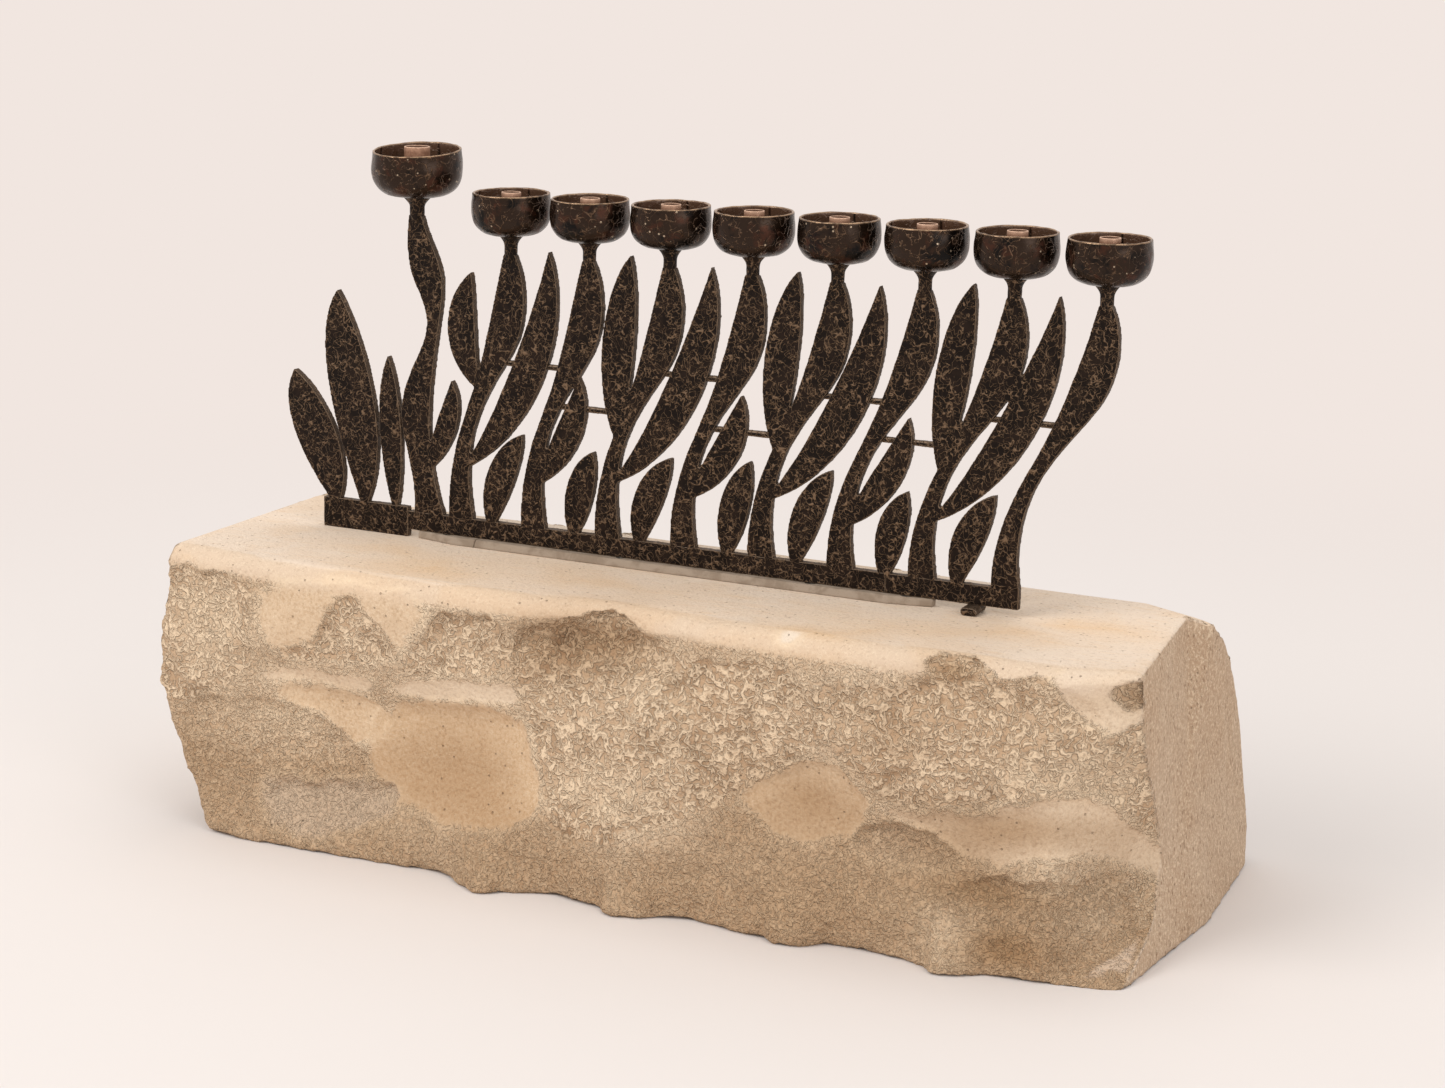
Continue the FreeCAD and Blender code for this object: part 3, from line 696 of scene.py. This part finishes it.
# Scars of the split front. Each has an outline along and up in millimetres, the depth of its floor, how the
# floor leans along and up, the width of its edge, and how smooth, golden and milky it is
scars = {
    "far left break": (((-252, 131), (-232, 132), (-216, 133), (-195, 130), (-194, 86), (-215, 73),
         (-239, 61), (-256, 66)), 1, 0, 0.6, 4, 0, 0, 0),
    "upper panel": (((-190, 134), (-125, 137), (-92, 132), (-108, 110), (-128, 98), (-190, 92)), 0.6, 0, -0.4,
         4, 0.92, 0.6, 0.1),
    "panel patch": (((-188, 92), (-188, 98), (-166, 101), (-156, 112), (-148, 126), (-139, 132), (-131, 128),
         (-114, 106), (-114, 99)), 0.9, 0, 0.4, 3, 0.1, 0, 0),
    "ledge": (((-113, 99), (-101, 116), (-84, 132), (-56, 130), (-53, 113), (-54, 101), (-111, 93)), 2.6, 0,
         2.4, 3, 0.05, 0, 0),
    "pale sweep": (((-196, 85), (-174, 90), (-153, 91), (-130, 90), (-133, 81), (-153, 82), (-174, 83),
         (-191, 80)), 0.2, 0, 0, 3, 0.95, 0.1, 0.25),
    "pale band": (((-122, 92), (-73, 98), (-52, 101), (-49, 88), (-70, 86), (-122, 80)), 0.8, 0, 0, 3, 0.95,
         0, 0.35),
    "left shoulder": (((-186, 80), (-165, 83), (-133, 79), (-127, 69), (-137, 54), (-147, 52), (-162, 65),
         (-184, 70)), 1, 0, 0.6, 4, 0.95, 0.5, 0),
    "left facet": (((-244, 62), (-219, 71), (-187, 71), (-162, 65), (-147, 53), (-126, 37), (-154, 33),
         (-194, 32), (-232, 26)), 1.3, 0.3, 1, 3, 0.35, 0.2, 0),
    "golden facet": (((-130, 76), (-94, 83), (-65, 86), (-50, 82), (-42, 64), (-36, 45), (-43, 31), (-79, 24),
         (-123, 26), (-142, 49)), 1.4, 0.8, 1.2, 4, 1, 1, 0),
    "centre break": (((-54, 126), (-28, 135), (8, 136), (30, 124), (87, 130), (94, 119), (106, 96), (88, 82),
         (60, 62), (44, 52), (14, 36), (-26, 24), (-36, 46), (-50, 84)), 0.8, 0, 0.6, 5, 0, 0, 0),
    "centre hollow": (((-54, 128), (-32, 131), (-17, 139), (5, 140), (18, 129), (29, 121), (24, 106),
         (-24, 94), (-52, 100)), 1.8, -0.5, 3, 2.5, 0.1, 0, 0),
    "middle facet": (((60, 60), (71, 71), (90, 82), (110, 85), (116, 78), (127, 70), (121, 58), (116, 50),
         (88, 43), (74, 50)), 1.4, 0, 1.4, 3, 1, 0.45, 0),
    "right break": (((94, 117), (113, 124), (141, 127), (152, 134), (172, 137), (214, 138), (230, 119),
         (222, 97), (215, 86), (183, 76), (150, 70), (129, 72), (114, 83), (106, 96)), 1.2, 0, 1.2, 6, 0, 0.1,
         0),
    "right dark pit": (((148, 139), (172, 142), (176, 137), (159, 132), (150, 135)), 3.2, 0, 0.5, 2, 0.1, 0,
         0),
    "low right facet": (((128, 68), (143, 66), (160, 71), (183, 74), (213, 84), (224, 82), (232, 72),
         (240, 58), (252, 46), (250, 34), (236, 40), (224, 53), (203, 50), (170, 46), (158, 56), (144, 60)),
         1.6, 0, 1.6, 4, 0.9, 0.15, 0.3),
    "lip scoop": (((121, 58), (139, 61), (155, 58), (171, 46), (149, 41), (125, 42), (115, 49)), 2.2, 0, 2.4,
         2.5, 0.5, 0, 0.1),
    "low left hollow": (((-194, 32), (-154, 34), (-122, 37), (-118, 27), (-139, 11), (-176, 4), (-194, 15)),
         2.6, 0, 2, 6, 0.6, 0, 0.6),
    "low right scoop": (((168, 44), (244, 46), (236, 22), (196, 14), (160, 26)), 2.4, 0, 2.6, 5, 0.4, 0, 0),
    "corner patch": (((206, 144), (262, 146), (260, 112), (232, 112), (212, 126)), 0.2, 0, 0, 3, 0.95, 0,
         0.3),
    "corner strands": (((214, 88), (222, 101), (238, 120), (250, 116), (254, 60), (244, 52), (234, 70),
         (224, 82)), 0.4, 0, 0.3, 3, 0, 0, 0),
    "corner pit": (((231, 137), (243, 141), (249, 131), (239, 123), (231, 129)), 3.4, 0, 0.4, 1.5, 0.2, 0, 0),
    "white chip": (((79, 137), (86, 149), (93, 147), (87, 136)), 0.8, 0, 0, 1.5, 0.9, 0, 1),
}

# Warm stains of the sawn top: middle along and across, half length and half width in millimetres
topStains = ((-153, -47, 34, 8), (-107, -63, 36, 9), (-62, -42, 34, 7), (-33, -58, 30, 7), (17, -66, 30, 4),
             (112, -62, 34, 8), (168, -50, 30, 9), (205, -22, 30, 12), (-121, -82, 34, 12), (96, -88, 24, 6))

# Painted shade and painted light on the split front: middle along and up, half length and half height in
# millimetres, and how much darker, or lighter below 0
paintedFrontShadeAndLight = ((96, 20, 40, 20, 0.2), (207, 49, 20, 12, -0.5), (-27, 86, 34, 22, -0.35),
              (191, 13, 22, 10, 0.55), (180, 35, 32, 8, 0.45), (156, 50, 30, 8, 0.25),
              (141, 103, 24, 14, 0.28), (-30, 116, 24, 19, 0.7), (-2, 125, 18, 12, 0.6),
              (55, 50, 20, 10, 0.2), (-4, 52, 38, 17, -1.5), (-184, 60, 42, 16, -1.1), (226, 90, 20, 16, -1),
              (-222, 104, 24, 30, -1.1), (-152, 108, 34, 14, -0.4), (196, 90, 26, 12, -0.8),
              (95, 66, 22, 14, 0.6), (-85, 55, 40, 24, 0.25), (162, 135, 11, 5, 0.8), (240, 131, 7, 7, 0.6),
              (165, 14, 14, 14, -0.4), (226, 22, 14, 14, -0.2), (-98, 20, 30, 12, -0.15),
              (188, 65, 40, 11, 0.65))

# How far the foot of the front swells out: place along and reach in millimetres
footLumps = ((-245, 0), (-225, 5), (-160, 6), (-108, 7), (-92, 4), (-84, 3), (-76, 6), (-58, 7), (-52, 3),
             (-41, 3), (-20, 5), (-3, 1), (1, 5), (20, 7), (26, 4), (48, 7), (70, 6), (79, 4), (84, 7),
             (98, 6), (107, 0), (128, 3), (150, 0), (156, 1), (161, 6), (174, 4), (183, 0), (208, 5),
             (232, 6), (246, 4))


def evenOut(points, edges, weight, turns):  # each point moves towards the middle of its neighbours
    count = len(points)
    links = np.bincount(edges.ravel(), minlength=count)[:, None]
    for turn in range(turns):
        found = np.zeros_like(points)
        for axis in range(points.shape[1]):
            found[:, axis] += np.bincount(edges[:, 0], points[edges[:, 1], axis], count)
            found[:, axis] += np.bincount(edges[:, 1], points[edges[:, 0], axis], count)
        points += (found / links - points) * weight[:, None]
    return points


def rounded(outline):  # the corners of an outline are cut twice
    corners = np.array(outline, float)
    for turn in range(2):
        after = np.roll(corners, -1, axis=0)
        corners = np.stack([corners * 0.75 + after * 0.25, corners * 0.25 + after * 0.75], 1).reshape(-1, 2)
    return corners


def depthWithin(spots, outline):  # distance inside a closed outline, negative outside it
    nearest = np.full(len(spots), np.inf)
    within = np.zeros(len(spots), bool)
    for start, end in zip(outline, np.roll(outline, -1, axis=0)):
        side = end - start
        share = np.clip(((spots - start) @ side) / (side @ side), 0, 1)
        nearest = np.minimum(nearest, np.linalg.norm(spots - start - share[:, None] * side, axis=1))
        crosses = (start[1] > spots[:, 1]) != (end[1] > spots[:, 1])
        height = side[1] if abs(side[1]) > 1e-9 else 1e-9
        within ^= crosses & (spots[:, 0] < start[0] + side[0] * (spots[:, 1] - start[1]) / height)
    return np.where(within, nearest, -nearest)


def eased(value):
    value = np.clip(value, 0, 1)
    return value * value * (3 - 2 * value)


def softSpot(points, axis, along, other, halfLength, halfWidth):  # 1 in an oval's middle, fading outwards
    x = (points[:, 0] / mm - along) / halfLength
    y = (points[:, axis] / mm - other) / halfWidth
    return np.exp(-(x * x + y * y))


def cutScars(points, front, looks):
    spots = points[front][:, [0, 2]] / mm
    broad = [noiseAt(Vector((x * 0.09, z * 0.09, 2.5))) for x, z in spots]
    fine = [0.6 * noiseAt(Vector((x * 0.3, z * 0.3, 7.1))) for x, z in spots]
    ragged = (np.array(broad) + fine) * stone["ragged"]
    gain = np.zeros(len(spots))
    for outline, depth, leanAlong, leanUp, edge, flake, golden, milky in scars.values():
        shape = rounded(outline)
        inside = depthWithin(spots, shape) + ragged * min(1, edge / 4)
        middle = shape.mean(axis=0)
        half = (shape.max(axis=0) - shape.min(axis=0)) / 2
        lean = (spots - middle) / half @ (leanAlong, leanUp)
        gain += eased(inside / edge) * np.maximum(depth + lean, 0)
        # painted highlight: a light line just outside the rim of each smooth scar, where a ridge catches the
        # light
        if flake > 0.4:
            rim = np.exp(-((inside + 0.8) / 1.1) ** 2)
            looks["scarRimHighlight"][front] = np.maximum(looks["scarRimHighlight"][front], rim)
        share = eased(inside / max(1.8, edge * 0.7) + 0.3)
        for name, value in (("flake", flake), ("golden", golden), ("milky", milky)):
            looks[name][front] += (value - looks[name][front]) * share
    points[front, 1] += gain * mm


def roundTopEdge(points):  # the long front edge of the top is worn to an arc
    radius = stone["edgeRound"]
    crest = points[:, 2].max()
    near = (points[:, 2] > crest - 1.6 * radius) & (points[:, 2] < crest - radius)
    places = points[near & (points[:, 1] < stone["faceFrom"])]
    starts = np.arange(places[:, 0].min(), places[:, 0].max() - 8 * mm, 4 * mm)
    faceAt = [places[np.abs(places[:, 0] - start) < 8 * mm, 1].min() for start in starts]
    face = np.interp(points[:, 0], starts, faceAt)
    across = points[:, 1] - (face + radius)
    rise = points[:, 2] - (crest - radius)
    reach = np.hypot(across, rise)
    outside = (across < 0) & (rise > 0) & (reach > radius)
    points[outside, 1] = (face + radius + across * radius / reach)[outside]
    points[outside, 2] = (crest - radius + rise * radius / reach)[outside]
    return outside


def breakCorner(points):  # the upright corner between the front and the sawn end is chipped off
    face = points[points[:, 1] < -90 * mm, 1].min()
    height = points[:, 2] / mm
    wave = np.array([noiseAt(Vector((z * 0.05, 1.7, 0.0))) + 0.5 * noiseAt(Vector((z * 0.2, 4.2, y * 300)))
                     for y, z in zip(points[:, 1], height)])
    broken = eased(1 - np.abs(height - stone["breakMiddle"]) / stone["breakReach"])
    width = stone["cornerChip"] * (1 + wave) + stone["cornerBreak"] * broken
    over = (points[:, 0] - stone["cornerAt"]) - (points[:, 1] - face) + width
    chipped = (over > 0) & (points[:, 1] < stone["faceFrom"]) & (points[:, 0] > 200 * mm)
    points[chipped, 0] -= over[chipped] / 2
    points[chipped, 1] += over[chipped] / 2
    return chipped


def swellFoot(points):  # the foot of the front swells out in low lumps
    along, out = np.array(footLumps, float).T
    amount = np.interp(points[:, 0] / mm, along, out) * eased(1 - points[:, 2] / stone["footHeight"])
    points[:, 1] -= np.where(points[:, 1] < stone["footFrom"], amount, 0) * mm


def shapeStone(mesh):  # the block's main form, and where each kind of surface lies on it
    points = pointsOf(mesh)
    edges = np.zeros(len(mesh.edges) * 2, np.int32)
    mesh.edges.foreach_get("vertices", edges)
    edges = edges.reshape(-1, 2)
    top = (points[:, 2] > stone["topHeight"]) & (points[:, 1] > stone["topFront"])
    facing = pointsOf(mesh, "normal")
    end = (points[:, 0] > stone["endFrom"]) & (facing[:, 0] > 0.8) & (facing[:, 1] > -0.52)
    points = evenOut(points, edges, np.where(top | end, 0.04, 0.6), stone["smoothing"])
    swellFoot(points)
    worn = roundTopEdge(points)
    chipped = breakCorner(points)
    movePoints(mesh, points)
    facing = pointsOf(mesh, "normal")
    reach = np.where(points[:, 0] > 200 * mm, -25 * mm, -70 * mm)
    front = (facing[:, 1] < -0.30) & (points[:, 1] < reach)
    level = facing[:, 2] > 0.9

    looks = {name: np.zeros(len(points)) for name in ("flake", "golden", "milky", "scarRimHighlight", "stain")}
    cap = eased((points[:, 2] - stone["capHeight"]) / stone["capFade"])
    looks["flake"][worn | top | end | level] = 1
    looks["flake"][front] = stone["frontFlake"] + (1 - stone["frontFlake"]) * cap[front]
    cutScars(points, front, looks)
    points = evenOut(points, edges, np.where(front, 0.3, 0.0), 2)
    looks["capped"] = cap * eased(looks["flake"] * 2.5 - 1.3) * (points[:, 1] < stone["faceFrom"])
    looks["sawn"] = ((top | end | level) & ~chipped & ~worn).astype(float)
    # painted shade and painted light: darker towards the foot of the front, with spots of painted shade and
    # light
    paintedShadeAndLight = stone["shade"] * eased((stone["shadeFrom"] - points[:, 2]) / stone["shadeFade"])
    for *oval, darker in paintedFrontShadeAndLight:
        paintedShadeAndLight += darker * softSpot(points, 2, *oval)
    looks["low"] = np.where(points[:, 1] < stone["footFrom"], paintedShadeAndLight, 0.4 * np.maximum(paintedShadeAndLight, 0)) * ~end
    for oval in topStains:
        looks["stain"] = np.maximum(looks["stain"], softSpot(points, 1, *oval))
    movePoints(mesh, points)
    values = evenOut(np.stack(list(looks.values()), 1), edges, np.full(len(points), 0.5), 1)
    for column, name in enumerate(looks):
        storeValue(mesh, name, values[:, column])
    return points[:, 2].min()


def buildStone():
    thing = evenMesh(mergedCopy("stone_block", "split_stone"), stone["size"], 0)
    lowest = shapeStone(thing.data)
    throughTree(thing, stoneTree, stoneFinish, stone)
    points = pointsOf(thing.data)
    points[:, 2] = np.clip(points[:, 2], lowest, cadHigh.z)
    movePoints(thing.data, points)
    fewer = thing.modifiers.new("fewer", "DECIMATE")
    fewer.ratio = stone["triangles"] / (2 * len(thing.data.polygons))
    applied(thing).data.shade_smooth()
    finishPiece(thing, "stand", "limestone", "stone_block")
    print("stone:", len(thing.data.polygons), "faces")


buildStone()


# Plates of the openwork
plates = {
    "size": 0.5 * mm,
    "rounding": 3,
    "sink": 0.8 * mm,
    "dentSize": 6.0 * mm,
    "dentDepth": 0.16 * mm,
    "wobble": 0.5 * mm,
    "lineHeight": 0.12 * mm,
}
plateNodes = ["base_rail_left", "base_rail_right", "foot_plate", "servant_stem_plate", "slit_ties"]
plateNodes += ["rest_peg"] + ["stem_plate_%d" % count for count in range(1, 9)]
plateNodes += ["foot_leaf_%d" % count for count in range(1, 4)]
plateNodes += ["lower_leaf_%d" % count for count in range(1, 8)]
standing = ("stem_plate", "servant_stem", "foot_leaf", "lower_leaf")

for order, node in enumerate(plateNodes):
    plate = mergedCopy(node, "worked_" + node)
    if node.startswith(standing):  # a standing plate reaches a little into the rail, as a brazed foot does
        points = pointsOf(plate.data)
        points[:, 2] -= np.where(points[:, 2] < points[:, 2].min() + 0.02 * mm, plates["sink"], 0)
        movePoints(plate.data, points)
    evenMesh(plate, plates["size"], plates["rounding"])
    # only the plates take the painted edge highlight
    storeValue(plate.data, "takesEdgeHighlight", np.ones(len(plate.data.vertices)))
    workMetal(plate, panelFinish, plates, order * 0.37)
    finishPiece(plate, "stand", "panel_bronze", node)
print("plates:", len(plateNodes))


# Turned pieces: outlines of radius and height in millimetres
def curved(start, first, second, end, count):
    found = []
    for step in range(count + 1):
        share = step / count
        rest = 1 - share
        weights = (rest ** 3, 3 * rest ** 2 * share, 3 * rest * share ** 2, share ** 3)
        found.append(tuple(sum(w * p[axis] for w, p in zip(weights, (start, first, second, end)))
                           for axis in (0, 1)))
    return found


def straight(start, end, count):
    return [(start[0] + (end[0] - start[0]) * step / count, start[1] + (end[1] - start[1]) * step / count)
            for step in range(count + 1)]


def overLip(across, up, radius, count):  # half a turn, from the outside of a lip to its inside
    angles = [math.pi * step / count for step in range(1, count)]
    return [(across + radius * math.cos(angle), up + radius * math.sin(angle)) for angle in angles]


def turnedMesh(name, outline, centre, base, around):  # a closed outline is spun about an upright axis
    kept = [outline[0]]
    for point in outline[1:]:
        if math.dist(point, kept[-1]) > 0.001:
            kept.append(point)
    rings = np.array(kept) * mm
    angles = np.linspace(0, 2 * math.pi, around, endpoint=False)
    x = centre[0] + rings[:, 0:1] * np.cos(angles)
    y = centre[1] + rings[:, 0:1] * np.sin(angles)
    z = base + rings[:, 1:2] * np.ones(around)
    points = np.stack([x, y, z], 2).reshape(-1, 3)
    faces = []
    closed = kept[0][0] > 0 or kept[-1][0] > 0
    for ring in range(len(kept) - (0 if closed else 1)):
        here = ring * around
        after = (ring + 1) % len(kept) * around
        for step in range(around):
            turn = (step + 1) % around
            faces.append((here + step, here + turn, after + turn, after + step))
    mesh = bpy.data.meshes.new(name)
    mesh.from_pydata(points.tolist(), [], faces)
    shell = bmesh.new()
    shell.from_mesh(mesh)
    bmesh.ops.remove_doubles(shell, verts=shell.verts, dist=0.004 * mm)
    bmesh.ops.recalc_face_normals(shell, faces=shell.faces)
    shell.to_mesh(mesh)
    shell.free()
    return newObject(name, mesh)


def measured(node):  # the middle and low end of a round node, its radius and height in millimetres
    low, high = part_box(node)
    return (low + high) / 2, low.z, (high.x - low.x) / 2 / mm, (high.z - low.z) / mm


def rimShare(points, high, depth, edge):  # 1 on the rim, fading out below it
    return np.clip((points[:, 2] - (high - depth)) / edge, 0, 1)


cup = {
    "around": 112,
    "wall": 1.2,
    "floor": 1.6,
    "hole": 1.65,
    "shoulder": 0.63,
    "sag": 0.37,
    "spread": 0.72,
    "tuck": 0.55,
    "dentSize": 5.5 * mm,
    "dentDepth": 0.30 * mm,
    "wobble": 0.5 * mm,
}


def buildCup(node, seat, lean, order):  # a hammered cup leans a little towards the front
    middle, base, outer, depth = measured(node)
    wall = cup["wall"]
    hole = cup["hole"]
    floor = cup["floor"]
    shoulder = depth * cup["shoulder"]
    sag = shoulder * cup["sag"]
    spread = seat + (outer - seat) * cup["spread"]
    mouth = outer - cup["tuck"]
    lip = wall / 2
    outline = [(hole, 0.0), (seat, 0.0)]
    outline += curved((seat, 0), (spread, 0), (outer, sag), (outer, shoulder), 22)
    outline += curved((outer, shoulder), (outer, shoulder + 2.5), (mouth, depth - 2.5),
                      (mouth, depth - lip), 8)
    outline += overLip(mouth - lip, depth - lip, lip, 8)
    outline += curved((mouth - wall, depth - lip), (mouth - wall, depth - 3), (outer - wall, shoulder + 2),
                      (outer - wall, shoulder), 8)
    outline += curved((outer - wall, shoulder), (outer - wall, sag + floor), (spread - lip, floor),
                      (seat, floor), 20)
    outline += [(hole, floor)]
    thing = turnedMesh("hammered_" + node, outline, middle, base, cup["around"])
    points = pointsOf(thing.data)
    inward = (pointsOf(thing.data, "normal") * (points - np.array(middle)) < 0)[:, :2].all(1)
    storeValue(thing.data, "rim", rimShare(points, base + depth * mm, 0.55 * mm, 0.25 * mm))
    storeValue(thing.data, "inside", inward * 1.0)
    rise = np.clip((points[:, 2] - base) / (depth * mm), 0, 1)
    points[:, 2] += (points[:, 1] - middle.y) * math.tan(math.radians(lean)) * rise
    movePoints(thing.data, points)
    workMetal(thing, cupFinish, cup, order * 0.53)
    finishPiece(thing, "stand", "cup_bronze", node)


collar = {
    "around": 64,
    "flare": 5.2,
    "lip": 0.6,
    "bore": 1.65,
    "boreDepth": 6.0,
    "root": 4.0,
    "rootRadius": 2.3,
    "dentSize": 3.0 * mm,
    "dentDepth": 0.16 * mm,
    "wobble": 0.5 * mm,
}


def buildCollar(node, waist, order):
    middle, base, outer, tall = measured(node)
    foot = tall - collar["flare"]
    rim = tall - collar["lip"]
    bore = collar["bore"]
    floor = tall - collar["boreDepth"]
    root = -collar["root"]
    thin = collar["rootRadius"]
    outline = [(0.0, root)]
    outline += curved((thin, root), (thin + 0.5, -2.0), (waist, -1.5), (waist, 0.5), 8)
    outline += straight((waist, 0.5), (waist, foot), 3)
    outline += curved((waist, foot), (waist, (foot + rim) / 2), (outer - 0.6, rim - 0.8), (outer, rim), 12)
    outline += curved((outer, rim), (outer + 0.1, rim + 0.3), (outer, tall), (outer - 0.3, tall), 4)
    outline += straight((outer - 0.3, tall), (bore, tall), 5)
    outline += [(bore, floor), (0.0, floor)]
    thing = turnedMesh("formed_" + node, outline, middle, base, collar["around"])
    workMetal(thing, panelFinish, collar, order * 0.71)
    finishPiece(thing, "stand", "panel_bronze", node)


socket = {
    "around": 72,
    "boreDepth": 15.0,
    "spigot": 1.6,
    "spigotLength": 7.2,
    "dentSize": 3.0 * mm,
    "dentDepth": 0.05 * mm,
    "wobble": 0.1 * mm,
}


def buildSocket(node, body, wall, order):
    middle, base, outer, tall = measured(node)
    bore = outer - wall
    spigot = socket["spigot"]
    foot = socket["spigotLength"]
    floor = tall - socket["boreDepth"]
    half = wall / 2
    outline = [(0.0, 0.0), (spigot - 0.3, 0.0), (spigot, 0.3), (spigot, foot), (outer - 0.25, foot)]
    outline += straight((outer, foot + 0.25), (outer, tall - half), 10)
    outline += overLip(outer - half, tall - half, half, 7)
    outline += straight((bore, tall - half), (bore, floor + 0.2), 10)
    outline += [(bore - 0.4, floor), (0.0, floor)]
    thing = turnedMesh("spun_" + node, outline, middle, base, socket["around"])
    points = pointsOf(thing.data)
    radius = np.hypot(points[:, 0] - middle.x, points[:, 1] - middle.y)
    # the bore, which takes painted shade
    within = (radius < (bore + 0.05) * mm) & (points[:, 2] > base + (floor - 0.1) * mm)
    storeValue(thing.data, "rim", rimShare(points, base + tall * mm, 0.5 * mm, 0.3 * mm))
    storeValue(thing.data, "inside", within.astype(float))
    workMetal(thing, socketFinish, socket, order * 0.29)
    finishPiece(thing, body, "socket_copper", node)


# The radii of a cup's seat and a collar's waist, a cup's lean in degrees and a socket's wall
servantLight = {"seat": 6.6, "lean": 5.0, "waist": 3.5, "wall": 0.8}
rowLight = {"seat": 5.6, "lean": 1.5, "waist": 3.1, "wall": 0.6}
lights = [("servant_cup", "servant_collar", "servant_candle_socket", "servant_socket", servantLight)]
for count in range(1, 9):
    names = [kind + "_%d" % count for kind in ("cup", "collar", "candle_socket", "socket")]
    lights.append((*names, rowLight))
for order, (cupNode, collarNode, socketNode, body, light) in enumerate(lights):
    buildCup(cupNode, light["seat"], light["lean"], order)
    buildCollar(collarNode, light["waist"], order)
    buildSocket(socketNode, body, light["wall"], order)
print("cups, collars and sockets:", len(lights), "each")


# Bedding and pins
bedding = {"size": 0.7 * mm, "rounding": 3, "dentSize": 9.0 * mm, "dentDepth": 0.2 * mm, "wobble": 0.5 * mm}
for order, side in enumerate(("left", "right")):
    node = "bedding_strip_" + side
    strip = evenMesh(mergedCopy(node, "smeared_" + node), bedding["size"], bedding["rounding"])
    workMetal(strip, pasteFinish, bedding, order * 1.3)
    finishPiece(strip, "stand", "bedding", node)

nodes["anchor_pins"].data.materials.clear()
nodes["anchor_pins"].data.materials.append(steelFinish)
print("bedding and pins")


# Floor, backdrop and light
stage = {
    "reach": 14.0,
    "drop": 0.02 * mm,
    "floor": paint(229, 222, 218),
    "dull": 0.8,
    "specular": 0.2,
    "backdrop": paint(241, 230, 224),
    "world": (1.0, 0.985, 0.97, 1.0),
    "worldLevel": 0.70,
    "clearFrom": 0.38,
    "clearTo": 1.2,
}


def showsBackdrop(tree):  # what the camera and bright metal see
    rays = tree.nodes.new("ShaderNodeLightPath").outputs
    return calc(tree, "MAXIMUM", rays["Is Camera Ray"], rays["Is Glossy Ray"])


def buildStage():
    half = stage["reach"] / 2
    mesh = bpy.data.meshes.new("floor")
    corners = [(-half, -half, 0), (half, -half, 0), (half, half, 0), (-half, half, 0)]
    mesh.from_pydata(corners, [], [(0, 1, 2, 3)])
    floor = newObject("floor", mesh)
    floor.location.z = -stage["drop"]
    material, tree, place = newMaterial("pale floor")
    surface = tree.nodes["Principled BSDF"]
    connect(tree, surface, {"Base Color": stage["floor"], "Roughness": stage["dull"]})
    surface.inputs["Specular IOR Level"].default_value = stage["specular"]
    away = addNode(tree, "ShaderNodeVectorMath", {0: place}, operation="LENGTH").outputs[1]
    far = times(tree, fade(tree, away, stage["clearFrom"], stage["clearTo"]), showsBackdrop(tree))
    glow = addNode(tree, "ShaderNodeEmission", {0: stage["backdrop"], 1: 1.0}).outputs[0]
    mixed = addNode(tree, "ShaderNodeMixShader", {0: far, 1: surface.outputs[0], 2: glow}).outputs[0]
    tree.links.new(mixed, tree.nodes["Material Output"].inputs[0])
    mesh.materials.append(material)

    world = bpy.data.worlds.new("studio")
    scene.world = world
    world.use_nodes = True
    tree = world.node_tree
    tree.nodes.clear()
    light = addNode(tree, "ShaderNodeBackground", {0: stage["world"], 1: stage["worldLevel"]}).outputs[0]
    shown = addNode(tree, "ShaderNodeBackground", {0: stage["backdrop"], 1: 1.0}).outputs[0]
    mixed = addNode(tree, "ShaderNodeMixShader", {0: showsBackdrop(tree), 1: light, 2: shown}).outputs[0]
    addNode(tree, "ShaderNodeOutputWorld", {0: mixed})


lampAim = Vector((0.0, -0.02, 0.16))
lamps = {
    "key": {"place": (-1.6, -2.2, 2.5), "size": 1.9, "power": 57.0, "colour": (1.0, 0.985, 0.965)},
    "fill": {"place": (2.4, -1.4, 1.2), "size": 1.6, "power": 17.0, "colour": (1.0, 0.985, 0.97)},
    "over": {"place": (0.1, 0.3, 1.9), "size": 1.4, "power": 8.0, "colour": (1.0, 0.99, 0.98)},
}


def buildLamps():
    for name, lamp in lamps.items():
        data = bpy.data.lights.new(name, "AREA")
        data.size = lamp["size"]
        data.energy = lamp["power"]
        data.color = lamp["colour"]
        thing = newObject(name, data)
        thing.location = lamp["place"]
        thing.rotation_mode = "QUATERNION"
        thing.rotation_quaternion = (lampAim - thing.location).to_track_quat("-Z", "Y")


buildStage()
buildLamps()
scene.view_settings.view_transform = "Standard"
print("stage and lamps")
